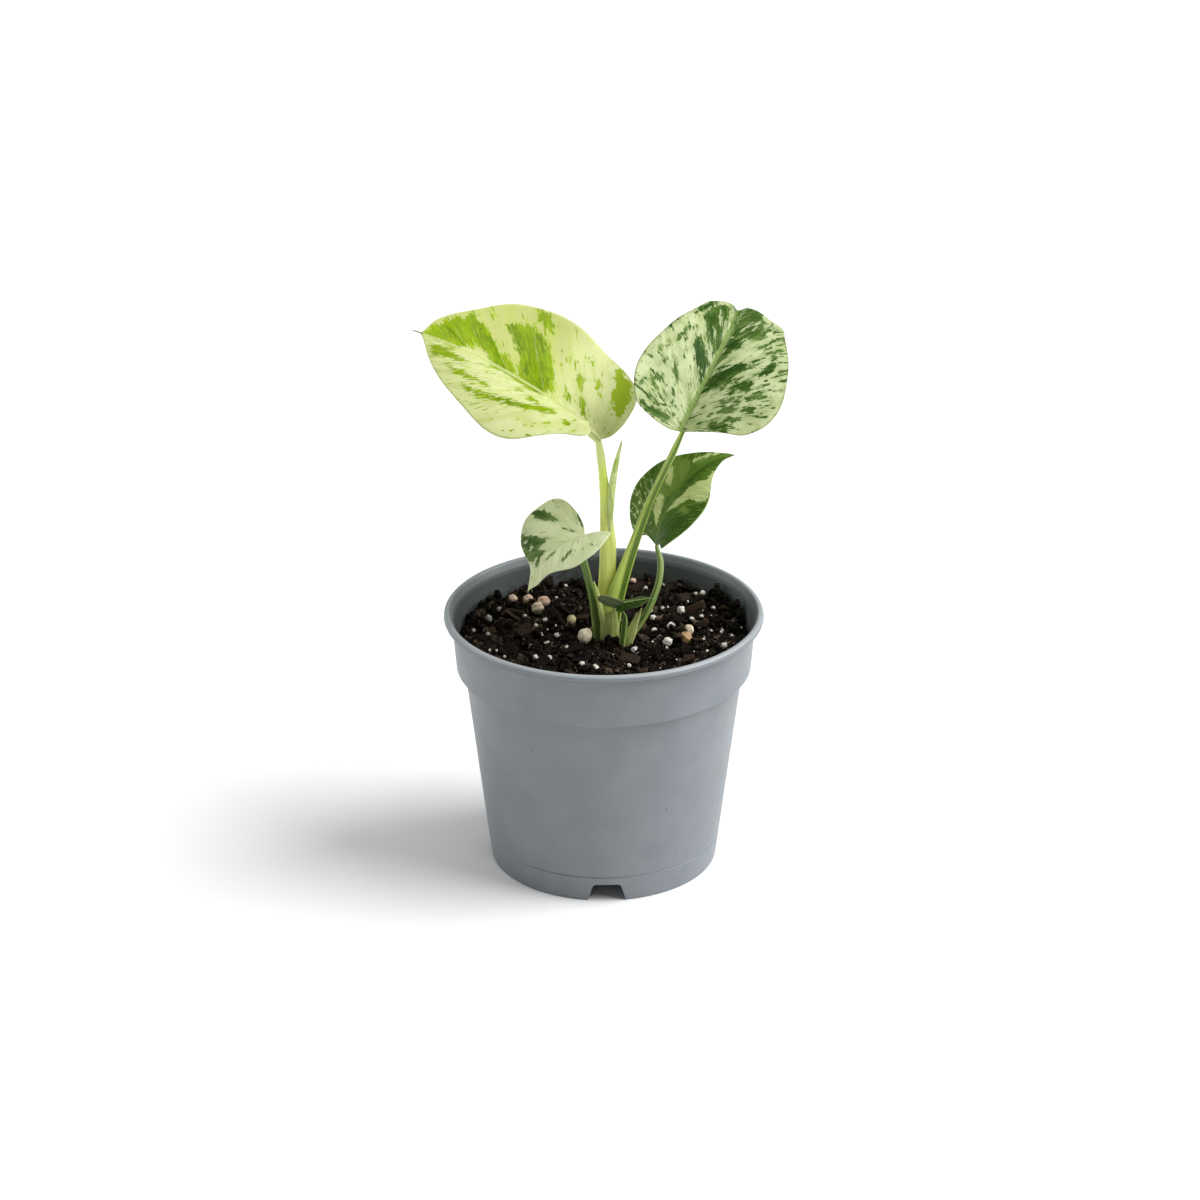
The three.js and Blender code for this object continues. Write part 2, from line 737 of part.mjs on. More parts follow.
function addPiece(name, solid, finish) {
  const material = new THREE.MeshStandardMaterial({ metalness: 0, ...FINISHES[finish] });
  const mesh = new THREE.Mesh(toGeometry(solid), material);
  mesh.name = name;
  plant.add(mesh);
}

// Assembly

const BLADE_FINISH = { leaf_1: 'lime', leaf_2: 'dark', leaf_3: 'dark', leaf_4: 'cream', leaf_5: 'dark' };
const STALK_FINISH = {
  leaf_1: 'limeStalk', leaf_2: 'greenStalk', leaf_3: 'greenStalk', leaf_4: 'greenStalk',
  leaf_5: 'greenStalk',
};
const STALK_SIDES = { leaf_1: 14, leaf_2: 14, leaf_3: 12, leaf_4: 12, leaf_5: 8 };
const STALK_STATIONS = { leaf_1: 20, leaf_2: 20, leaf_3: 14, leaf_4: 14, leaf_5: 8 };

for (const [name, leaf] of Object.entries(LEAVES)) {
  const small = name === 'leaf_5';
  let blade = makeBlade(leaf, small ? 18 : 27, small ? 2 : 4);
  if (small) blade = blade.add(makeBlade(SCALE_LEAF, 12, 2));
  addPiece(`${name}_blade`, blade, BLADE_FINISH[name]);
}

// Younger stalks are wrapped by older ones, so each is cut clear of those made before it
const standing = [];
function stand(spec, sides, stations) {
  let solid = tube(spec, sides, stations);
  for (const grown of standing) solid = solid.subtract(grown);
  standing.push(tube(spec, sides, stations, CLEARANCE));
  return mainBody(solid);
}

addPiece('new_leaf', stand(NEW_LEAF, 8, 10), 'limeStalk');
for (const [name, spec] of Object.entries(STALKS)) {
  const stalk = withNeck(LEAVES[name], spec);
  const solid = stand(stalk, STALK_SIDES[name], STALK_STATIONS[name]);
  addPiece(`${name}_stalk`, solid, STALK_FINISH[name]);
}
addPiece('bud_sheath', stand(BUD_SHEATH, 8, 10), 'paleStalk');

addPiece('root_crown', makeCrown(0), 'root');
addPiece('potting_mix', makeMix([...standing, makeCrown(CLEARANCE)]), 'mix');
addPiece('pot', makePot(), 'pot');

export default plant;
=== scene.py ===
# %% [markdown]
# # A young variegated monstera in a 12 cm nursery pot
#
# Five stalks rise from a buried crown, each with one blade, beside one rolled new leaf and a small
# bud sheath. They stand in a dark peaty mix with white perlite and pale pebbles, in a thin grey pot
# with a stepped collar and a rolled rim.
#
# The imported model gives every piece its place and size, with few flat faces. It could be dressed
# with modifiers, but its triangles would show in each highlight. So each visible piece is drawn
# again from the same sizes, much finer, and stands in for its solid.

# %% Load the fixed model
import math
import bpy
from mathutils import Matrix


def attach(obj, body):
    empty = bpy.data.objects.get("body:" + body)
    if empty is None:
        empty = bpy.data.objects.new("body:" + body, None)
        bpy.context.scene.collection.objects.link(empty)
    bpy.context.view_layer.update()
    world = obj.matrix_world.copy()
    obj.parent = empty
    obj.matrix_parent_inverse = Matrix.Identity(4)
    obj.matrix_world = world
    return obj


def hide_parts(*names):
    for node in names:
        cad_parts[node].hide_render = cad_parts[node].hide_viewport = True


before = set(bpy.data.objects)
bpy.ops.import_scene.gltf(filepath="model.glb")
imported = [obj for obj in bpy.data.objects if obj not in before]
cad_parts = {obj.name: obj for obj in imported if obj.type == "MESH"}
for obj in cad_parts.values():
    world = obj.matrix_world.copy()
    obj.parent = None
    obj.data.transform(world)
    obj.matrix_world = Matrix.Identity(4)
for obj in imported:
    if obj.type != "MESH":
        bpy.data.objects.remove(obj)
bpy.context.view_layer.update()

# %% Modules and units
from types import SimpleNamespace

import bmesh
import bpy
import numpy as np
from mathutils import Matrix, Vector, noise

MM = 0.001

# %% [markdown]
# ## Shader sums
#
# A finish is a net of nodes. It could be wired by hand, one link at a time, but then nobody can
# read what it does. Here a node's output is wrapped, so that ordinary sums add the Math nodes, and
# one method adds any other node from its type, its settings and its inputs.

# %% A node's output that can be used in sums
class Signal:
    """An output of a node. Sums on it add Math nodes to the same finish."""

    def __init__(self, finish, socket):
        self.finish = finish
        self.socket = socket

    def math(self, operation, *values):
        return self.finish.node("ShaderNodeMath", {"operation": operation}, dict(enumerate(values)))

    def __add__(self, other):
        return self.math("ADD", self, other)

    def __radd__(self, other):
        return self.math("ADD", other, self)

    def __sub__(self, other):
        return self.math("SUBTRACT", self, other)

    def __rsub__(self, other):
        return self.math("SUBTRACT", other, self)

    def __mul__(self, other):
        return self.math("MULTIPLY", self, other)

    def __rmul__(self, other):
        return self.math("MULTIPLY", other, self)

    def __truediv__(self, other):
        return self.math("DIVIDE", self, other)

    def size(self):
        return self.math("ABSOLUTE", self)

    def over(self, other):
        return self.math("MAXIMUM", self, other)

    def fraction(self):
        return self.math("FRACT", self)

    def rise(self, low, high):
        """From 0 to 1, softly, as this goes from low to high. It falls where low is above high."""
        settings = {"interpolation_type": "SMOOTHSTEP"}
        inputs = {"Value": self, "From Min": low, "From Max": high}
        return self.finish.node("ShaderNodeMapRange", settings, inputs)

    def parts(self):
        split = self.finish.node("ShaderNodeSeparateXYZ", {}, {"Vector": self})
        return [Signal(self.finish, socket) for socket in split.socket.node.outputs]

    def blend(self, first, second):
        """The first colour where this is 0, and the second where it is 1."""
        return self.finish.mix(self, first, second)


# %% A finish, and the one method that adds a node
class Finish:
    """A material. Its node method adds a node of any type and gives back its output."""

    def __init__(self, name):
        self.material = bpy.data.materials.new(name)
        self.material.use_nodes = True
        self.tree = self.material.node_tree
        self.tree.nodes.clear()

    def node(self, kind, settings=None, inputs=None, output=0):
        made = self.tree.nodes.new(kind)
        for name, value in (settings or {}).items():
            setattr(made, name, value)
        for key, value in (inputs or {}).items():
            if isinstance(key, int):
                socket = made.inputs[key]
            else:
                socket = next(s for s in made.inputs if s.enabled and s.name == key)
            if isinstance(value, Signal):
                self.tree.links.new(value.socket, socket)
            else:
                socket.default_value = value
        found = [s for s in made.outputs if s.enabled]
        return Signal(self, found[output])

    def place(self):
        """Where a point of the surface is, in millimetres."""
        where = self.node("ShaderNodeTexCoord", output=3)
        return self.node("ShaderNodeVectorMath", {"operation": "SCALE"}, {0: where, "Scale": 1 / MM})

    def read(self, name, output=1):
        """A value that the mesh carries at its points: output 1 is a vector, and 2 a number."""
        return self.node("ShaderNodeAttribute", {"attribute_name": name}, output=output)

    def vector(self, x, y, z):
        return self.node("ShaderNodeCombineXYZ", {}, {"X": x, "Y": y, "Z": z})

    def cloud(self, at, scale, detail=2.0, roughness=0.5):
        """Soft noise round 0.5, with scale in lumps for each unit of the place."""
        inputs = {"Vector": at, "Scale": scale, "Detail": detail, "Roughness": roughness}
        return self.node("ShaderNodeTexNoise", {}, inputs)

    def drawn_out(self, across, along, seed, detail=3.0, roughness=0.6):
        """Soft noise with its own scale in each of two directions, such as across veins and along."""
        return self.cloud(self.vector(across, along, seed), 1.0, detail, roughness)

    def cells(self, at, scale):
        """How far a place is from the middle of its cell, in a pattern of uneven cells."""
        return self.node("ShaderNodeTexVoronoi", {}, {"Vector": at, "Scale": scale})

    def bumps(self, height, depth_mm, strength=1.0):
        inputs = {"Height": height, "Distance": depth_mm * MM, "Strength": strength}
        return self.node("ShaderNodeBump", {}, inputs)

    def mix(self, share, first, second):
        """The first colour where the share is 0, and the second where it is 1."""
        inputs = {"Factor": share, "A": first, "B": second}
        return self.node("ShaderNodeMix", {"data_type": "RGBA"}, inputs)

    def surface(self, inputs):
        """The main shader."""
        return self.node("ShaderNodeBsdfPrincipled", {}, inputs)

    def done(self, shader):
        output = self.tree.nodes.new("ShaderNodeOutputMaterial")
        self.tree.links.new(shader.socket, output.inputs["Surface"])
        return self.material


# %% Colours as a painter reads them off a screen
def paint(code):
    """A colour such as #c6d966, turned into the light values that shaders work in."""
    screen = [int(code[i : i + 2], 16) / 255 for i in (1, 3, 5)]
    light = [v / 12.92 if v <= 0.04045 else ((v + 0.055) / 1.055) ** 2.4 for v in screen]
    return (*light, 1.0)


# %% [markdown]
# ## Meshes
#
# Every piece below is worked out as points and faces in millimetres. Blender could grow some of
# them from curves, but a mesh can also carry its own map: how far along a vein a point lies, or how
# far round a stalk. The finishes read that map, so the markings follow the growth of the plant.

# %% Make a piece from points, faces and what the points carry
def make_piece(name, points, faces, finishes, carried=None, finish_of_face=None):
    mesh = bpy.data.meshes.new(name)
    mesh.from_pydata((np.asarray(points, float) * MM).tolist(), [], [list(map(int, f)) for f in faces])
    for finish in finishes:
        mesh.materials.append(finish)
    if finish_of_face is not None:
        mesh.polygons.foreach_set("material_index", np.asarray(finish_of_face, np.int32))
    for title, values in (carried or {}).items():
        values = np.asarray(values, np.float32)
        kind = "FLOAT" if values.ndim == 1 else "FLOAT_VECTOR"
        field = "value" if values.ndim == 1 else "vector"
        layer = mesh.attributes.new(title, kind, "POINT")
        layer.data.foreach_set(field, values.ravel())
    mesh.shade_smooth()
    mesh.validate()
    piece = bpy.data.objects.new(name, mesh)
    bpy.context.scene.collection.objects.link(piece)
    return piece


# %% Rings of faces, and several meshes as one
def ring_faces(first, sides):
    """Faces between a ring of points, the first of which is given, and the ring after it."""
    ring = np.arange(sides)
    following = (ring + 1) % sides
    corners = [first + ring, first + following, first + sides + following, first + sides + ring]
    return np.stack(corners, -1).tolist()


def joined(parts):
    """The points and faces of several meshes as one."""
    points, faces, first = [], [], 0
    for part_points, part_faces in parts:
        points.append(part_points)
        faces += [[first + corner for corner in face] for face in part_faces]
        first += len(part_points)
    return np.vstack(points), faces


# %% Weld, mend and settle a piece
def weld(piece, distance_mm=0.01):
    """Joins points that lie on each other and drops edges of no length. It prints the piece's name if its
    faces point inwards.
    """
    grown = bmesh.new()
    grown.from_mesh(piece.data)
    bmesh.ops.remove_doubles(grown, verts=grown.verts, dist=distance_mm * MM)
    bmesh.ops.dissolve_degenerate(grown, dist=distance_mm * MM * 0.1, edges=grown.edges)
    if grown.calc_volume(signed=True) < 0:
        print(piece.name, "faces inwards")
    grown.to_mesh(piece.data)
    grown.free()


def settle(piece, slot, *nodes):
    """Every piece rides on the one body and stands for its solids, which are hidden. The slot is not used.
    """
    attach(piece, "root")
    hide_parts(*nodes)
    piece.data.calc_loop_triangles()
    print(f"{piece.name}: {len(piece.data.loop_triangles)} triangles")
    return piece


# %% Curves through given points
def curve_through(points, t, reach_ends):
    """Places on a smooth curve. With reach_ends it bends at its ends as if it went on."""
    points = np.asarray(points, float)
    last = len(points) - 1
    place = np.clip(t, 0, 1) * last
    index = np.minimum(place.astype(int), last - 1)
    w = (place - index)[:, None]
    if reach_ends:
        points = np.vstack([2 * points[0] - points[1], points, 2 * points[-1] - points[-2]])
    else:
        points = np.vstack([points[0], points, points[-1]])
    p0, p1, p2, p3 = (points[index + k] for k in range(4))
    v0 = (p2 - p0) / 2
    v1 = (p3 - p1) / 2
    return (2 * p1 - 2 * p2 + v0 + v1) * w**3 + (3 * p2 - 3 * p1 - 2 * v0 - v1) * w**2 + v0 * w + p1


def spread(values, t):
    """Reads a list of values that are spread evenly from 0 to 1."""
    return np.interp(t, np.linspace(0, 1, len(values)), values)


def soft_step(x, low, high):
    share = np.clip((x - low) / (high - low), 0, 1)
    return share * share * (3 - 2 * share)


# %% [markdown]
# ## The blades
#
# A monstera blade is a thin, slightly quilted sheet. Its veins leave the midrib and sweep towards
# the tip, and fan out round the stalk at the base. The pale and green cells grow in files along
# those veins, so the variegation is drawn out into streaks.
#
# The blade could be a subdivided plane, bent with modifiers. It is worked out instead from the same
# flat margin and the same bends as the solid that it stands for, so it lies in exactly its place.

# %% The sizes of the five blades and the scale leaf, as in the construction
def half(width, lobe, fold, curl, lean, foot=None):
    """One half of a blade. Lean says how far its veins slope forward, at the base and the tip.

    Foot gives six corners of its lower margin where that isn't a rounded lobe.
    """
    return {"width": width, "lobe": lobe, "fold": fold, "curl": curl, "lean": lean, "foot": foot}


LEAVES = {
    "leaf_1": {
        "base": (-2.0, 0.8, 168.3), "yaw": 172, "pitch": 43.5, "roll": 59.5,
        "length": 81, "half_width": 34, "widest": 0.16, "taper": (0.97, 0.59, 0.29),
        "left": half(1.06, 0, -14, -20, (1.5, 2.5),
                     foot=[(-0.8, 1.4), (1.5, 2.6), (6, 3.4), (10.3, 20), (12, 37), (21, 32.8)]),
        "right": half(1.12, 4.7, 67.5, 26.5, (0.28, 0.5)),
        "droop": (32.5, -3.5), "flatten": -50, "twist": -52, "drip": 1.8, "waves": (3, 0.5),
        # The colour after the vein gap is a painted shade over the right half, away from the base; with it
        # comes a painted light on the right base lobe.
        "vein_gap": 8.5, "painted_shading": "#babf72", "ragged": 1.25, "tip_length": 3.4, "tip": "#6c6a3c",
    },
    "leaf_2": {
        "base": (28.9, 1, 171.4), "yaw": 59.5, "pitch": 37.5, "roll": 25,
        "length": 73.5, "half_width": 31.2, "widest": 0.18, "taper": (0.8, 0.57, 0.43),
        "left": half(0.89, 3.7, 36, -3.5, (0.6, 3.5)),
        "right": half(1.1, 0.2, 47.5, -15.5, (0.25, 2.8)),
        "droop": (-14.5, 70), "flatten": -48, "twist": 1.5, "drip": 1, "waves": (4, 0.4),
        "vein_gap": 8, "tip_groove": (2.2, 2.8, 0.9), "edge": "#6f7a4e", "stained": "#8c9460",
        "rib_path": ((0, 10, 20, 35, 50, 60, 73), (1.5, 1.2, 0.8, 0.7, 1, 2, 3)),
    },
    "leaf_3": {
        "base": (19.7, 7.8, 123.4), "yaw": 57.5, "pitch": 65.5, "roll": -42.5,
        "length": 48, "half_width": 22, "widest": 0.24, "taper": (0.69, 0.29, 0.09),
        "left": half(1.03, -3.4, 1, 6.5, (0.5, 1.5)),
        "right": half(1.06, -1, 18, -14.5, (0.4, 1.5)),
        "droop": (25.5, 49), "flatten": -5.5, "twist": 72, "drip": 1, "waves": (3, 0.3),
        "vein_gap": 6, "pale_flecks": 0.28,
    },
    "leaf_4": {
        "base": (-7.1, -5.8, 132.6), "yaw": 221.5, "pitch": 5, "roll": 0.5,
        "length": 33.8, "half_width": 18, "widest": 0.19, "taper": (0.85, 0.36, 0.2),
        "left": half(0.92, 0.6, 37, -39, (1.0, 1.5)),
        "right": half(1.21, 4.5, 12.5, 25, (0.35, 0.8)),
        "droop": (35, 42.5), "flatten": -57.5, "twist": 4.5, "drip": 0.5, "waves": (3, 0.3),
        "vein_gap": 5, "ragged": 0.55,
    },
    "leaf_5": {
        "base": (4.9, -12.2, 107.8), "yaw": -14, "pitch": 22, "roll": 0,
        "length": 13.5, "half_width": 4.8, "widest": 0.5, "taper": (0.85, 0.6, 0.3),
        "left": half(1, 0, -8, 0, (0.8, 1.5)),
        "right": half(1, -1, -15, 0, (0.8, 1.5)),
        "droop": (4, 8), "flatten": 0, "twist": 0, "drip": 0.5, "waves": (2, 0.2),
        "vein_gap": 2.5,
    },
    "scale_leaf": {
        "base": (7, -13.5, 108), "yaw": 182, "pitch": 20, "roll": 66,
        "length": 9.8, "half_width": 2.6, "widest": 0.55, "taper": (0.95, 0.8, 0.6),
        "left": half(1, 0, 0, 0, (0.8, 1.5)),
        "right": half(1, 0, 0, 0, (0.8, 1.5)),
        "droop": (4, -14), "flatten": 0, "twist": 0, "drip": 0.2, "waves": (1, 0.1),
        "vein_gap": 1.4,
    },
}

TIP_HALF_WIDTH = 0.7
BLADE_THICKNESS = 0.5
FAN_SHARE = 2 / 9
FOOT_PACE = ((0, 0.2222, 0.2738, 0.3009, 0.3122, 0.36, 0.4444, 1),
             (0, 0.235, 0.285, 0.3636, 0.4545, 0.49, 0.5455, 1))


# %% The flat margin of one half
def margin(leaf, side, t):
    w = leaf["half_width"] * side["width"]
    length = leaf["length"]
    lobe = side["lobe"]

    def along(share):
        return (leaf["widest"] + (1 - leaf["widest"]) * share) * length

    foot = side["foot"] or [
        (-0.75 * lobe, 0.22 * w), (-lobe, 0.55 * w), (-0.35 * lobe, 0.88 * w),
        (leaf["widest"] * length, w),
    ]
    corners = [
        (0, 0), *foot, (along(0.36), leaf["taper"][0] * w),
        (along(0.66), leaf["taper"][1] * w), (along(0.86), leaf["taper"][2] * w),
        (length * 0.975, TIP_HALF_WIDTH), (length + leaf["drip"], 0),
    ]
    if side["foot"]:
        t = np.interp(t, *FOOT_PACE)
    return curve_through(corners, t, reach_ends=False)


# %% Bend the midrib
def turned_about(v, axis, angle):
    """Turns vectors about unit axes, by angles in radians."""
    c = np.cos(angle)[..., None]
    s = np.sin(angle)[..., None]
    return v * c + np.cross(axis, v) * s + axis * (v * axis).sum(-1, keepdims=True) * (1 - c)


def droop_angle(leaf, s):
    x = s / leaf["length"]
    return np.radians(leaf["droop"][0] * x + np.where(x > 0, leaf["droop"][1] * x * x, 0))


def midrib(leaf, s):
    """The midrib's place at a distance from the stalk, with its forward, side and up directions."""
    yaw, pitch, roll = np.radians([leaf["yaw"], leaf["pitch"], leaf["roll"]])
    forward = np.array([math.cos(yaw) * math.cos(pitch), math.sin(yaw) * math.cos(pitch), math.sin(pitch)])
    side = turned_about(np.array([-math.sin(yaw), math.cos(yaw), 0.0]), forward, np.array(roll))
    up = np.cross(forward, side)
    steps = (np.arange(24) + 0.5) / 24
    walked = droop_angle(leaf, s[..., None] * steps)
    point = np.array(leaf["base"]) + (s * np.cos(walked).mean(-1))[..., None] * forward
    point = point - (s * np.sin(walked).mean(-1))[..., None] * up
    angle = droop_angle(leaf, s)
    sides = np.broadcast_to(side, point.shape)
    forwards = turned_about(np.broadcast_to(forward, point.shape), sides, angle)
    ups = turned_about(np.broadcast_to(up, point.shape), sides, angle)
    twist = np.radians(leaf["twist"] * s / leaf["length"])
    return point, forwards, turned_about(sides, forwards, twist), turned_about(ups, forwards, twist)


# %% Bend a flat point of a blade into place
def blade_point(leaf, s, out):
    """Out is above zero on the left half and below zero on the right one."""
    point, _, side, up = midrib(leaf, s)
    left = out >= 0
    reach = np.abs(out) / leaf["half_width"]
    x = s / leaf["length"]
    fold = np.where(left, leaf["left"]["fold"], leaf["right"]["fold"])
    curl = np.where(left, leaf["left"]["curl"], leaf["right"]["curl"])
    angle = np.radians(fold + leaf["flatten"] * x + 0.5 * curl * reach)
    count, height = leaf["waves"]
    wave = height * reach**2 * np.sin(2 * np.pi * count * x + np.where(left, 0, 2))
    lift = np.abs(out) * np.sin(angle) + wave
    return point + (out * np.cos(angle))[..., None] * side + lift[..., None] * up


def blade_normal(leaf, s, out, step=0.3):
    forward = blade_point(leaf, s + step, out) - blade_point(leaf, s - step, out)
    across = blade_point(leaf, s, out + step) - blade_point(leaf, s, out - step)
    normal = np.cross(forward, across)
    return normal / np.linalg.norm(normal, axis=-1, keepdims=True)


# %% [markdown]
# Each point also gets its place in the vein pattern: the spot on the midrib that its vein starts
# from, and the way it has come along the vein. Beyond the first vein, round the base, the veins
# fan out from the stalk, and there the pattern turns with the angle.

# %% Find each point's place in the vein pattern
FAN_TURN = 13  # millimetres of pattern for each radian round the stalk


def vein_place(leaf, s, out):
    """Where the vein of a flat point starts, and how far along it the point lies."""
    reach = np.abs(out)
    lean = np.where((out >= 0)[..., None], leaf["left"]["lean"], leaf["right"]["lean"])
    near, far = lean[..., 0], lean[..., 1]
    start = (s - near * reach) / (1 + far * reach / leaf["length"])
    first = np.arctan2(1.0, near)
    fan = -FAN_TURN * (np.arctan2(reach, s) - first)
    on_rib = start > 0
    way = np.where(on_rib, np.hypot(reach, s - start), np.hypot(reach, s))
    return np.where(on_rib, start, fan), way


# %% The relief of a blade's upper face
def smooth_waves(s, out, seed):
    """Gentle unevenness, a sum of a few long waves."""
    first = np.sin(0.31 * s + 0.22 * out + seed) * np.sin(0.27 * out - 0.12 * s + 2 * seed)
    second = np.sin(0.17 * s - 0.41 * out + 3 * seed)
    return 0.6 * first + 0.4 * second


def relief(leaf, s, out, start, share, seed):
    """Millimetres up or down: quilting between the veins, and the channel over the midrib."""
    size = leaf["length"] / 80
    gap = leaf["vein_gap"]
    inner = 1 - share**4
    nearest = np.abs((start / gap + 0.5) % 1 - 0.5) * gap
    away = soft_step(np.abs(out), 0.5, 4 * size)
    quilt = 0.17 * (1 - np.cos(2 * np.pi * start / gap)) * inner * away
    veins = -0.16 * np.exp(-((nearest / 0.55) ** 2)) * inner * away
    channel = -0.3 * np.exp(-((out / (0.55 + 0.3 * size)) ** 2))
    near_base = 1 - soft_step(s, 0.1 * leaf["length"], 0.55 * leaf["length"])
    ridge = 0.75 * np.exp(-((out / 1.5) ** 2)) * near_base * soft_step(s, -1.5, 1.5)
    uneven = 0.22 * smooth_waves(s, out, seed) * share
    return size * (quilt + veins + uneven) + math.sqrt(size) * (channel + ridge)


def tip_groove(leaf, s, out):
    """Millimetres up or down where a tip is pinched into a groove between two humps."""
    depth, place, hump = leaf.get("tip_groove", (0, 0, 0))
    near_tip = soft_step(s, 0.78 * leaf["length"], leaf["length"])
    groove = -depth * np.exp(-(((out - place) / 1.7) ** 2))
    humps = hump * (np.exp(-(((out - place - 6.5) / 4) ** 2)) + np.exp(-(((out - place + 8) / 4) ** 2)))
    return (groove + humps) * near_tip


def rib_below(leaf, s, out):
    """How far the midrib stands out of the underside, in millimetres."""
    size = leaf["length"] / 80
    x = np.clip(s / leaf["length"], 0, 1)
    height = (0.15 + 0.95 * (1 - x) ** 1.5) * math.sqrt(size)
    width = (0.4 + 0.8 * (1 - x)) * math.sqrt(size)
    return height * np.exp(-((out / width) ** 2)) * soft_step(s, -1.5, 1.0)


# %% [markdown]
# ## Markings
#
# The large patches are the same ones that anyone who knows this plant would point at, so each is
# drawn on the flat blade, as an outline or as a brush stroke. An image would do it as well,
# but it would bring its own pixels. Everything finer, such as ragged edges, flecks and pale streaks,
# comes from noise drawn out along the veins.

# %% Outlines and strokes on the flat blades: along the midrib, and out from it, in millimetres
def patch(*corners):
    return corners, 0


def stroke(half_width, *points):
    return points, half_width


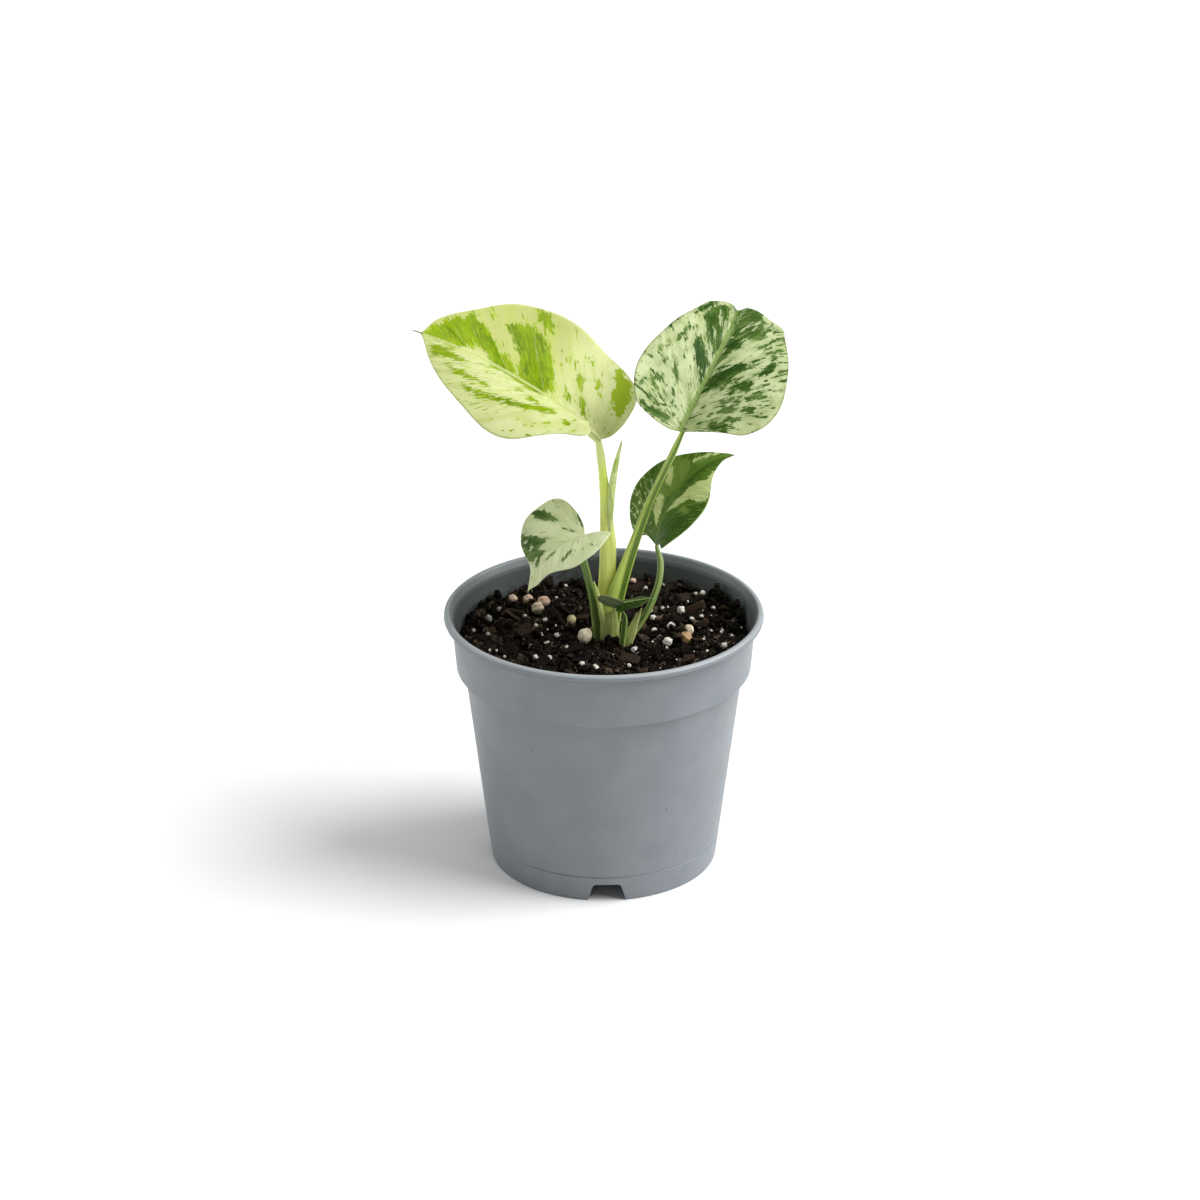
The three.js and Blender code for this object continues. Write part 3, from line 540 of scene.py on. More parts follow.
MARKINGS = {
    "leaf_1": {
        "green": [
            patch((29, 4.4), (40, 3.5), (39, -3), (38.5, -10), (40.5, -14), (43, -17), (46.5, -22),
                  (40, -27.5), (37, -28), (33, -27), (30, -23), (27, -18), (25, -13), (24, -6),
                  (26, -1)),
            patch((38, 3), (50, 1.5), (51, -2), (54, -5), (57, -6), (62, -9), (64, -14.5), (61, -18),
                  (59, -21), (56, -18), (52, -15), (49, -12), (47, -7), (44, -9), (41, -4)),
            patch((60, -2), (66, 1), (72, 0.5), (78, -0.5), (75, -5), (70, -9), (66, -13), (63, -11),
                  (60, -6)),
            patch((57, -4), (61, -2.5), (66, -7), (70, -10), (67, -14), (64, -17), (60, -10)),
            patch((51, -9), (55, -7), (60, -12), (58, -16)),
            patch((59, 5.5), (67, 5.5), (73, 6), (75, 3), (73, 2), (66, 2.5), (61, 3.6)),
            patch((21, 15), (27, 18), (34, 19), (42, 17.5), (50, 17.5), (59, 15.5), (59, 13.8),
                  (50, 14.5), (42, 15), (36, 15.5), (30, 14), (23, 13.5)),
            patch((49, 11.5), (58, 11), (67, 8.5), (67, 7.4), (58, 9.3), (50, 10.5)),
            patch((29, 13), (34, 12), (33, 9.5), (30, 10)), patch((36, 9), (38.5, 8.8), (36, 7.5)),
            patch((-2, -19), (1, -19), (4, -25), (7, -32), (8.5, -37), (4, -36.5), (1, -33), (-2, -27),
                  (-3, -23)),
            patch((8, -3), (11, -6), (13, -10), (12, -13), (9, -9)),
            patch((15.5, -5), (18.5, -8), (19, -11), (16, -9)),
            patch((14, -16), (17, -19), (18, -23), (15, -22)),
            patch((8, -21), (10.5, -22), (11, -26), (8.5, -25)),
            patch((31, -30), (36, -31), (39.5, -36), (34, -37), (31, -34)),
            patch((17, 27), (19.5, 27), (19.5, 21.5), (17, 22.5)),
        ],
        "deep": [
            stroke(1.6, (39, -15), (45, -23)), stroke(1.0, (31, -20), (35, -26)),
            stroke(0.8, (53, -12), (59, -18)), stroke(1.4, (30, 2), (28, -8)),
            stroke(1.0, (36, -4), (36, -16)), stroke(1.2, (45, -1), (52, -12)),
            stroke(1.0, (62, -3), (69, -8)), stroke(0.8, (34, 17), (48, 15.6)),
            stroke(1.2, (4, -25), (6, -34)),
        ],
    },
    "leaf_2": {
        "green": [
            patch((20, 1.8), (25, 5), (28, 8.5), (33, 10.5), (37.8, 11.4), (38, 10), (35, 6.5),
                  (33, 5), (30, 2), (24, 1.5)),
            patch((32, 2), (36, 4), (39, 7), (44, 9), (49, 12.5), (53, 12), (58, 10.5), (63, 9),
                  (63, 5), (57, 4), (50, 3), (44, 2), (38, 1.2)),
            patch((48, 15.5), (54, 15.5), (62, 13), (66, 10), (60, 11), (52, 13)),
            patch((34, 22), (37, 21.8), (42, 19.8), (38, 19.5)),
            patch((15, 11), (18, 13), (23.5, 16), (22, 13.5), (17, 11)),
            patch((33.5, 17), (37, 15.5), (35.5, 14.5)),
            patch((-3.5, 22), (-1, 24), (0, 18), (1, 12), (1.5, 7), (-1, 9), (-3, 14)),
            stroke(0.7, (2, 16), (4, 12)), stroke(0.7, (6, 24), (9, 22)),
            stroke(0.6, (10, 21), (13, 17)), stroke(0.5, (5, 9), (6, 8)), stroke(0.5, (3, 7), (3.6, 6)),
            stroke(0.5, (15, 24), (15.6, 23)), stroke(0.5, (18, 25), (18.6, 24)),
            stroke(0.4, (22, 22), (23, 21.4)), stroke(0.6, (25.5, 20), (27, 19)),
            stroke(0.5, (20, 18.5), (21, 18)), stroke(0.4, (26, 12), (27, 12.4)),
            stroke(0.5, (31, 17), (32, 16.6)), stroke(0.4, (33, 14.5), (34, 14.4)),
            stroke(0.5, (38, 15), (40, 15)), stroke(0.5, (41, 12.5), (42, 12.8)),
            patch((16, -0.5), (24, -1), (28, -2), (31, -4), (33, -8), (33.5, -13), (31, -12),
                  (27, -10), (23, -10), (20, -5)),
            patch((30, -0.5), (45, -0.5), (45, -6), (41, -6.5), (37, -3.5)),
            patch((45, 0), (74, 0), (68, -7), (62, -9), (56, -10), (50, -11), (46, -8)),
            patch((45, 0), (74, 0), (70, 5), (62, 3), (55, 2)),
            patch((20, -11), (24, -12), (26, -16), (25, -19), (21, -17.5)),
            patch((28, -17.5), (33, -19), (38, -20), (38, -22), (33, -23.5), (29, -20)),
            patch((2, -10), (5, -14), (4, -20), (1, -21), (0, -15)),
            patch((6, -17), (8, -19), (8, -22), (5, -21)),
            patch((9, -12), (12, -12), (13, -17), (10, -18)), stroke(0.8, (14, -12), (17, -17)),
            patch((15, -18), (20, -20), (20, -26), (17, -22)),
            patch((11, -21), (14, -22), (14.5, -27), (11, -25)), stroke(0.7, (38, -19.5), (45, -20)),
            stroke(0.8, (43, -14), (52, -17)), stroke(0.8, (48, -11), (60, -12.5)),
            stroke(0.6, (55, -12.5), (64, -12)),
        ],
        "deep": [
            patch((20, 2), (25, 5), (28, 8.5), (33, 10.5), (37.4, 11), (35, 7.5), (32, 5), (29, 2.6),
                  (24, 1.6)),
            patch((16, -0.8), (24, -1), (28, -2), (31, -4), (33, -8), (33.5, -13), (31, -12), (27, -8),
                  (22, -5)),
            patch((35, -1), (44, -1), (45, -5.5), (41, -6)),
            patch((28.5, -18), (38, -20.4), (33, -23), (29.4, -20)),
            patch((50, 15), (62, 12.6), (60, 11.4), (52, 13.4)), stroke(1, (35, 21.4), (41, 19.8)),
            stroke(1.2, (22, -12.5), (24, -17.5)), stroke(0.9, (1.5, -13), (2.6, -19)),
            stroke(0.8, (41, 6), (50, 10)),
        ],
        "busy": [
            patch((-4, -6), (0, -24), (12, -33), (30, -36), (46, -30), (60, -22), (62, -14), (46, -13),
                  (36, -13), (30, -6), (12, -3)),
            patch((-3, 6), (12, 8), (16, 22), (8, 29), (-3, 26)),
        ],
        "pale": [
            stroke(0.45, (41, 4), (46, 7)), stroke(0.4, (48, 5), (58, 8)),
            stroke(0.35, (44, 2.2), (52, 4)), stroke(0.4, (27, -2.4), (37, -12)),
            stroke(0.4, (47, -3), (58, -5.5)), stroke(0.35, (52, -7), (62, -7.4)),
        ],
    },
    "leaf_3": {
        "green": [
            patch((-12, -30), (-12, 30), (60, 30), (60, -30)),
        ],
        "deep": [
            patch((-6, -26), (-6, 4), (4, 4), (12, -4), (17, -10), (22, -17), (20, -26)),
            patch((22, 19), (27, 18), (28, 14), (22, 13)), patch((38, 6), (52, 4), (52, -4), (38, -3)),
            stroke(2, (24, -1), (36, -1)),
        ],
        "pale": [
            patch((27, 9.1), (28.3, 7.6), (26.2, 5.7), (22.1, 3.8), (21.5, 5), (24.5, 8)),
            patch((18, 8), (17.9, 4.9), (14.6, 3), (10, 2.8), (6.6, 3.1), (9.3, 6.2), (12.5, 8)),
            patch((13, -1), (17.4, -2.6), (22.3, -4.4), (26.5, -4.9), (32.7, -6.5), (38.5, -4.6),
                  (33, -9.5), (28.4, -12.8), (23.5, -15.8), (21.2, -13.6), (21, -8.3), (18, -7.5),
                  (14.9, -4.3)),
            stroke(0.45, (34, 3.6), (43, 1.8)), stroke(0.5, (14.6, 19), (15.6, 18)),
            stroke(0.4, (12.6, 17.4), (13.6, 16.4)), stroke(0.35, (20, 15.4), (21, 14.4)),
            stroke(0.3, (17.5, 11.6), (18.5, 11)), stroke(0.3, (11.8, 13.2), (12.6, 12.4)),
            stroke(0.35, (18, 17.6), (18.8, 16.8)), stroke(0.3, (9.4, 14.2), (10, 13.4)),
            stroke(0.35, (6.6, 8), (7.4, 7.2)), stroke(0.35, (4.4, 6.8), (5, 6)),
        ],
        "busy": [
            patch((-4, 6), (8, 8), (16, 9), (24, 12), (30, 16), (26, 24), (4, 26), (-6, 18)),
            patch((13, -16), (24, -17), (30, -14), (24, -22), (12, -22)),
        ],
        # Lighter patches: the leaf's own lighter tone on the left half, a painted highlight near the tip
        # and a painted sheen low on the right half.
        "tone_and_sheen": [
            patch((33, 12), (32, 7.3), (33.8, 4.4), (30.3, 1.6), (27, 0.4), (22, 0.8), (17, 3),
                  (15, 7), (20, 9), (25, 12.5)),
            patch((44.5, 1), (36.4, 3.4), (33.6, 4.4), (33.5, 1), (40, 0.5)),
            patch((13, -8), (15, -16), (17.5, -14), (17, -9)),
        ],
    },
    "leaf_4": {
        "green": [
            patch((24.5, -0.2), (19.5, -3.5), (16, -4.5), (16.5, -8.5), (10.7, -7.8), (12, -12),
                  (13, -16), (14, -19), (16, -19.5), (18.5, -16), (21, -12.5), (22, -9), (23.5, -4)),
            patch((3.2, -12), (5, -15), (7, -17.5), (7.5, -19.5), (8.5, -22), (5.5, -21), (3.5, -19.5),
                  (3, -17)),
            stroke(0.6, (13.5, 7.6), (17.7, 7.9)), stroke(0.6, (16.4, 1.5), (19.8, 1.2)),
            stroke(0.5, (1.8, -4.5), (3.8, -8)), stroke(0.3, (6.5, 14.5), (7, 13)),
            stroke(0.6, (-3.5, -5), (-4, -10)),
        ],
        "deep": [
            patch((13, -9), (18, -10), (18, -14), (15.5, -18), (13.8, -15)),
            stroke(1.2, (5.4, -16.5), (6, -20)), stroke(1.0, (18, -5), (22, -3.6)),
        ],
        "pale": [
            stroke(0.7, (16.4, -12), (17.6, -12)), stroke(0.5, (15.2, -15.6), (15.8, -16.4)),
            stroke(0.8, (20.6, -5.7), (23, -5.3)),
        ],
    },
    "leaf_5": {
        "green": [
            patch((-5, -9), (-5, 9), (18, 9), (18, -9)),
        ],
        "deep": [
            stroke(3.4, (1, -3), (12, -1.4)),
        ],
    },
}


# %% How deep a flat point lies in a patch
def depth_in(shapes, s, out, furthest=4.0):
    """Millimetres inside the nearest edge of any shape, or below zero outside them all."""
    depth = np.full(s.shape, -furthest)
    for corners, half_width in shapes:
        corners = np.array(corners, float)
        ends = corners[1:] if half_width else np.roll(corners, -1, axis=0)
        nearest = np.full(s.shape, np.inf)
        inside = np.zeros(s.shape, bool)
        for (s0, out0), (s1, out1) in zip(corners, ends):
            run_s, run_out = s1 - s0, out1 - out0
            share = ((s - s0) * run_s + (out - out0) * run_out) / (run_s**2 + run_out**2)
            share = np.clip(share, 0, 1)
            nearest = np.minimum(nearest, np.hypot(s - s0 - share * run_s, out - out0 - share * run_out))
            crosses = (out0 > out) != (out1 > out)
            before = ((s - s0) * run_out < (out - out0) * run_s) == (run_out > 0)
            inside ^= crosses & before
        own = half_width - nearest if half_width else np.where(inside, nearest, -nearest)
        depth = np.maximum(depth, own)
    return np.minimum(depth, furthest)


# %% [markdown]
# The finish of a blade is built from layers: a cream ground with faint grey-green clouds, the green
# patches with ragged edges, a darker green inside them, and pale streaks and the lines of the veins
# over it all. Leaves let light through, so a share of it passes the blade: green where the blade is
# green and cream where it is cream, by two translucent shaders of one colour each.

# %% Where the colours lie
def marking_masks(finish, leaf, flecks):
    """The place on the blade, the noises, and masks of the green, its halo and the parts in it."""
    start, way, seed = finish.read("vein_place").parts()
    s, out, share = finish.read("flat_place").parts()
    green, deep, pale = finish.read("marks").parts()
    streaks = finish.drawn_out(start * 0.42, way * 0.09, seed)
    fine = finish.drawn_out(start * 1.0, way * 0.36, seed + 7, roughness=0.65)
    specks = finish.drawn_out(start * 0.85, way * 0.17, seed + 11)
    busy = finish.read("busy", output=2)
    ragged = ((streaks - 0.5) * 4.0 + (fine - 0.5) * 6.5) * leaf.get("ragged", 1.0)
    loose = (specks - (0.72 - flecks) + busy * 0.066) * 14 + (fine - 0.5) * 3
    field = (green + ragged).over(loose * share.rise(0.02, 0.1))
    pale_level = 1.01 - leaf.get("pale_flecks", 0.0)
    sparks = (specks - pale_level) * 14 + (fine - 0.5) * 3 + busy * 2.2
    return SimpleNamespace(
        start=start, way=way, seed=seed, s=s, out=out, share=share, streaks=streaks, fine=fine,
        clouds=finish.drawn_out(start * 0.16, way * 0.09, seed + 3, roughness=0.55),
        slits=finish.drawn_out(start * 1.7, way * 0.16, seed + 17, 2.0, 0.6),
        solid=field.rise(-0.15, 0.15), halo=field.rise(-1.6, 0.0),
        heart=(green + ragged).rise(1.5, 5.0), deep=(deep + ragged).rise(-0.5, 0.6),
        pale=(pale + ragged * 0.6).over(sparks).rise(-0.2, 0.2),
        middle=(finish.read("middle", output=2) + ragged).rise(-0.4, 0.6),
    )


def layered(ground, *layers):
    """Lays colours over a ground. Each layer is its share, from 0 to 1, and its colour."""
    for share, colour in layers:
        ground = share.blend(ground, colour)
    return ground


# %% The pale ground of a blade, and the green of its patches
def painted_lobe_light(at):
    """Painted light: the right lobe at the base of the first leaf is painted paler and yellower, where
    another blade shades it.
    """
    return at.out.rise(-10, -18) * at.s.rise(20, 8) * 0.9


def pale_ground(finish, leaf, at, cream, cloud, light):
    """Cream with faint clouds, stains or painted shade and painted light, and light green round the
    patches.
    """
    ground = (at.clouds.rise(0.42, 0.68) * 0.8).blend(cream, cloud)
    if "stained" in leaf:
        stains = finish.drawn_out(at.start * 0.36, at.way * 0.3, at.seed + 23, 4.0, 0.65)
        ground = (stains.rise(0.5, 0.68) * 0.6).blend(ground, paint(leaf["stained"]))
    if "painted_shading" in leaf:
        # Painted shade: the right half, away from the base, is painted a darker, duller cream.
        shaded_half = at.out.rise(3, -6) * at.s.rise(14, 30) * 0.85
        ground = layered(ground, (shaded_half, paint(leaf["painted_shading"])), (painted_lobe_light(at), paint("#f6f9c6")))
    return layered(
        ground,
        (at.halo * at.streaks.rise(0.35, 0.6) * 0.5, light),
        (at.streaks.rise(0.5, 0.68) * 0.28, light),
    )


def patch_green(leaf, at, light, green, deep):
    """Green that is streaked with lighter and deeper green."""
    inside = layered(
        green,
        (at.streaks.rise(0.42, 0.64) * 0.6, light),
        (at.fine.rise(0.45, 0.62) * 0.35, deep),
        (at.heart * 0.55, deep),
        (at.deep * 0.85, deep),
        # Lighter green in the marked patches: partly the leaf's own lighter tone, partly painted highlight
        # and painted sheen.
        (at.middle * (0.9 - at.streaks.rise(0.3, 0.7) * 0.5), light),
        (at.fine.rise(0.64, 0.7) * 0.5, light),
        (at.slits.rise(0.57, 0.66) * 0.7, light),
        (at.slits.rise(0.4, 0.32) * 0.6, deep),
    )
    if "painted_shading" in leaf:
        # Painted light: the green on the right base lobe is painted lighter and yellower.
        inside = painted_lobe_light(at).blend(inside, paint("#c2da3c"))
    return inside


# %% The veins, the midrib, the edge and the tip
def vein_gaps(at, gap):
    """How far a place is from the nearest of the veins, in gaps between two of them."""
    return ((at.start / gap + 0.5).fraction() - 0.5).size()


def with_lines(leaf, at, colour, cream, deep, vein, rib):
    length, gap = leaf["length"], leaf["vein_gap"]
    near_vein = (vein_gaps(at, gap) * gap).rise(0.4, 0.08)
    rib_width = 0.45 + (1 - at.s / length) * 1.15 * math.sqrt(length / 80)
    edge = paint(leaf["edge"]) if "edge" in leaf else cream
    tip_length = leaf.get("tip_length", length * 0.02)
    return layered(
        colour,
        (near_vein * at.share.rise(0.98, 0.4) * at.streaks.rise(0.35, 0.6) * 0.4, vein),
        ((at.out.size() / rib_width).rise(1.1, 0.55) * 0.9, rib),
        (at.out.size().rise(0.2, 0.04) * at.s.rise(2, 12) * 0.35, deep),
        (at.share.rise(0.972, 0.995) * 0.55, edge),
        (at.s.rise(length - tip_length, length - tip_length * 0.3), paint(leaf.get("tip", "#8d8f7c"))),
    )


# %% The finish of a blade
def blade_finish(name, leaf, colours, flecks=0.0, underside=False):
    """Colours are cream, cloud, light green, green, deep green, vein and midrib, in that order."""
    finish = Finish(name)
    cream, cloud, light, green, deep, vein, rib = (paint(code) for code in colours)
    at = marking_masks(finish, leaf, flecks)
    ground = pale_ground(finish, leaf, at, cream, cloud, light)
    colour = layered(
        ground,
        (at.solid, patch_green(leaf, at, light, green, deep)),
        (at.pale * (at.slits.rise(0.42, 0.56) * 0.4 + 0.52), cream),
    )
    colour = with_lines(leaf, at, colour, cream, deep, vein, rib)
    if underside:
        colour = finish.mix(0.35, colour, paint("#a3ab88"))
    pores = finish.drawn_out(at.start * 2.4, at.way * 1.1, at.seed + 5)
    side_veins = vein_gaps(at, leaf["vein_gap"] / 4).rise(0.14, 0.0)
    matt = 0.62 if underside else 0.42
    body = finish.surface({
        "Base Color": colour, "Roughness": (at.clouds - 0.5) * 0.3 + matt, "Specular IOR Level": 0.1,
        "Normal": finish.bumps(pores * 0.6 - side_veins * 0.5, 0.12, 0.6),
    })
    greenness = at.solid * (1 - at.pale)
    through = [finish.node("ShaderNodeBsdfTranslucent", {}, {"Color": c}) for c in (cream, green)]
    light = finish.node("ShaderNodeMixShader", {}, {0: greenness, 1: through[0], 2: through[1]})
    return finish.done(finish.node("ShaderNodeMixShader", {}, {0: 0.38, 1: body, 2: light}))


# %% The colours and flecks of each blade
BLADE_COLOURS = {
    "leaf_1": ("#e0e5ae", "#ccd28e", "#b4cc24", "#8fac00", "#688600", "#dee4a6", "#dae098"),
    "leaf_2": ("#d6dfb2", "#b2be86", "#82a052", "#466a1e", "#2a5010", "#c0cc92", "#84a050"),
    "leaf_3": ("#e2ebae", "#b2c472", "#9cba58", "#658a2e", "#42661a", "#98b45c", "#7a9c40"),
    "leaf_4": ("#ecf2cc", "#d2dcac", "#9eb674", "#658644", "#42642a", "#f0f5d0", "#e8f0ba"),
    "leaf_5": ("#a9bd78", "#8fa666", "#6f8c48", "#46662a", "#2d4a18", "#8fa862", "#a9bd78"),
    "scale_leaf": ("#8f9c72", "#84936a", "#7c8e5c", "#71844f", "#5d7040", "#98a57c", "#8f9c72"),
}
FLECKS = {"leaf_1": 0.075, "leaf_2": 0.1, "leaf_4": 0.04}
SLOTS = {"leaf_1": "lime_blade", "leaf_4": "cream_blade"}


# %% The flat grid of a blade
def flat_grid(leaf, stations, steps):
    """Rows run from the base to the tip, and columns from the right margin to the left one."""
    t = np.linspace(0, 1, stations + 1)
    rib = (leaf["length"] + leaf["drip"]) * np.maximum(0, (t - FAN_SHARE) / (1 - FAN_SHARE))
    share = np.linspace(0, 1, steps + 1) ** 1.25
    halves = []
    for side, sign in ((leaf["right"], -1), (leaf["left"], 1)):
        edge = margin(leaf, side, t)
        s = rib[:, None] + (edge[:, 0] - rib)[:, None] * share
        out = sign * edge[:, 1][:, None] * share
        halves.append((s, out, np.broadcast_to(share, s.shape)))
    return [np.hstack([right[:, :0:-1], left]) for right, left in zip(*halves)]


# %% Make a blade
def make_blade(name, stations, steps, node=None):
    leaf = LEAVES[name]
    s, out, share = flat_grid(leaf, stations, steps)
    start, way = vein_place(leaf, s, out)
    seed = 10 * list(LEAVES).index(name) + 4
    normal = blade_normal(leaf, s, out)
    point = blade_point(leaf, s, out)
    thick = BLADE_THICKNESS * (0.4 + 0.6 * (1 - share**8))
    lift = relief(leaf, s, out, start, share, seed) + tip_groove(leaf, s, out)
    top = point + normal * (thick / 2 + lift)[..., None]
    below = point + normal * (0.9 * lift - thick / 2 - rib_below(leaf, s, out))[..., None]
    rows, columns = s.shape
    grid = np.arange(rows * columns).reshape(rows, columns)
    upper = np.stack([grid[:-1, :-1], grid[1:, :-1], grid[1:, 1:], grid[:-1, 1:]], -1).reshape(-1, 4)
    lower = upper[:, ::-1] + grid.size
    rims = []
    for edge in (grid[:, 0], grid[::-1, -1]):
        here, there = edge[:-1], edge[1:]
        rims += np.stack([here, here + grid.size, there + grid.size, there], -1).tolist()
    faces = upper.tolist() + lower.tolist() + rims
    kinds = [0] * len(upper) + [1] * len(lower) + [0] * len(rims)
    shapes = MARKINGS.get(name, {})
    kinds_drawn = ("green", "deep", "pale", "busy", "tone_and_sheen")
    depths = {kind: depth_in(shapes.get(kind, []), s, out) for kind in kinds_drawn}
    marks = [depths[kind] for kind in ("green", "deep", "pale")]
    rib_path = leaf.get("rib_path", ((0, 1), (0, 0)))
    carried = {
        "flat_place": np.stack([s, out - np.interp(s, *rib_path), share], -1).reshape(-1, 3),
        "vein_place": np.stack([start, way, seed + 30.0 * (out > 0)], -1).reshape(-1, 3),
        "marks": np.stack(marks, -1).reshape(-1, 3),
        "busy": np.clip(depths["busy"] / 2, 0, 1).ravel(), "middle": depths["tone_and_sheen"].ravel(),
    }
    carried = {title: np.concatenate([values, values]) for title, values in carried.items()}
    colours = BLADE_COLOURS[name]
    finishes = [
        blade_finish(f"{name}_face", leaf, colours, FLECKS.get(name, 0.0)),
        blade_finish(f"{name}_underside", leaf, colours, FLECKS.get(name, 0.0), underside=True),
    ]
    points = np.concatenate([top.reshape(-1, 3), below.reshape(-1, 3)])
    blade = make_piece(f"{name}_sheet", points, faces, finishes, carried, kinds)
    weld(blade)
    return settle(blade, SLOTS.get(name, "green_blade"), node or f"{name}_blade")


# %% All five blades, and the scale leaf that grows from the joint of the smallest
make_blade("leaf_1", 240, 40)
make_blade("leaf_2", 240, 40)
make_blade("leaf_3", 180, 32)
make_blade("leaf_4", 160, 32)
make_blade("leaf_5", 90, 18)
make_blade("scale_leaf", 60, 12, node="leaf_5_blade")

# %% [markdown]
# ## The stalks
#
# Each stalk is round above and flat or winged below, where its sheath wraps the younger stalks. It
# has a channel up its face and fine ribs along it, and it runs into the midrib under its blade. A
# curve with a round bevel would give the line, but not the wing, the channel or the swelling, so
# each stalk is lofted: a ring of points at each station, drawn by one formula.

# %% Routes of the stalks, as in the construction
STALKS = {
    "leaf_1": {
        "route": [(1.2, -0.6, 84.6), (0.5, 0, 92), (0.7, 0, 104.3), (1.2, 0.2, 120.5),
                  (0.6, 0.4, 136.6), (-0.2, 0.6, 152.5), (-1.1, 0.8, 161.5)],
        "radii": [2.9, 3.2, 3.2, 3, 2.5, 1.75, 1.55, 1.6], "neck": 1.2,
        "wing": [0, 0, 0, 0.4, 1.2, 0.6, 0, 0], "wing_side": (1, -0.3, 0),
        "channel": (0.35, -1, 0), "depth": 0.05,
        "tail": [(3, 1.6), (8, 1.45), (14, 0.9), (20, 0.45)], "sunk": 0,
    },
    "leaf_2": {
        "route": [(3.4, -3.4, 84.8), (3.6, -2.5, 93.1), (5, -2, 102.7), (7.4, -1.5, 113.1),
                  (10.7, -1, 125.1), (14.4, -0.3, 136.9), (18.9, 0.3, 148.6), (25.1, 0.6, 162.4)],
        "radii": [2.2, 2.3, 2.2, 2.0, 1.9, 1.8, 1.6, 1.35, 1.3], "neck": 0.9,
        "wing": [2.5, 3.6, 4.1, 3.5, 1.9, 0.5, 0, 0, 0], "wing_side": (-0.8, -0.6, 0),
        "channel": (0.35, -1, 0.2), "depth": 0.2,
    },
    "leaf_3": {
        "route": [(5.6, -5.6, 85), (7.2, -6.6, 89), (11.7, -6, 94.7), (16.5, -4.5, 102.2),
                  (20.2, -1, 110.9), (21.2, 3.4, 117.6)],
        "radii": [1.5, 1.5, 1.45, 1.35, 1.3, 1.25, 1.2], "neck": 0.8,
        "wing": [1.2, 1.6, 1.4, 0.3, 0, 0, 0], "wing_side": (-0.4, -0.2, 1),
        "channel": (-0.6, -0.8, 0), "depth": 0.15,
    },
    "leaf_4": {
        "route": [(-0.8, -3.9, 84.8), (-2.3, -4.3, 91), (-4, -3.4, 105.2), (-6.2, -2.2, 115.4),
                  (-7.9, -1.8, 123.3)],
        "radii": [1.5, 1.5, 1.45, 1.4, 1.4, 1.3], "neck": 0.8,
        "wing": [0.6, 0.9, 0.4, 0, 0, 0], "wing_side": (1, 0, 0),
        "channel": (0.3, -1, 0), "depth": 0.15,
    },
    "leaf_5": {
        "route": [(6.9, -10.4, 85.4), (6.8, -10.6, 90), (7.6, -11, 98), (7.7, -11.2, 102.8)],
        "radii": [0.9, 1, 1.1, 1.1, 0.6], "neck": 0.4,
        "wing": [0, 0, 0, 0, 0], "wing_side": (-1, 0, 0),
        "channel": (0, -1, 0), "depth": 0.1,
    },
}
NECK_GAP = 0.7


# %% A closed tube round a line of centres
def directions_along(centres, toward):
    along = np.gradient(centres, axis=0)
    along /= np.linalg.norm(along, axis=1, keepdims=True)
    across = np.asarray(toward, float) - (along @ np.asarray(toward, float))[:, None] * along
    across /= np.linalg.norm(across, axis=1, keepdims=True)
    return along, across, np.cross(along, across)


def tube_points(centres, toward, sides):
    """Unit steps outwards, for each station and each side of a tube, and the angles of the sides."""
    _, across, other = directions_along(centres, toward)
    angle = np.arange(sides) * 2 * np.pi / sides
    rays = np.cos(angle)[:, None] * across[:, None] + np.sin(angle)[:, None] * other[:, None]
    return rays, angle


def tube_faces(stations, sides):
    """Faces of a closed tube whose last two points are the middles of its ends."""
    ring = np.arange(sides)
    following = (ring + 1) % sides
    faces = []
    for i in range(stations - 1):
        faces += ring_faces(i * sides, sides)
    bottom = stations * sides
    last = bottom - sides
    faces += [[bottom, int(b), int(a)] for a, b in zip(ring, following)]
    faces += [[bottom + 1, int(last + a), int(last + b)] for a, b in zip(ring, following)]
    return faces


def tube(centres, toward, reach):
    """Points and faces of a tube, with its reach at each station and side in millimetres."""
    stations, sides = reach.shape
    rays, _ = tube_points(centres, toward, sides)
    points = (centres[:, None] + rays * reach[..., None]).reshape(-1, 3)
    return np.vstack([points, centres[0], centres[-1]]), tube_faces(stations, sides)


# %% The finish of a stalk
LIVING_TISSUE = {
    "Subsurface Weight": 0.25, "Subsurface Scale": 0.002, "Subsurface Radius": (0.6, 1.0, 0.25),
}
NO_FADE = (400, 500)  # further along than any stalk is long


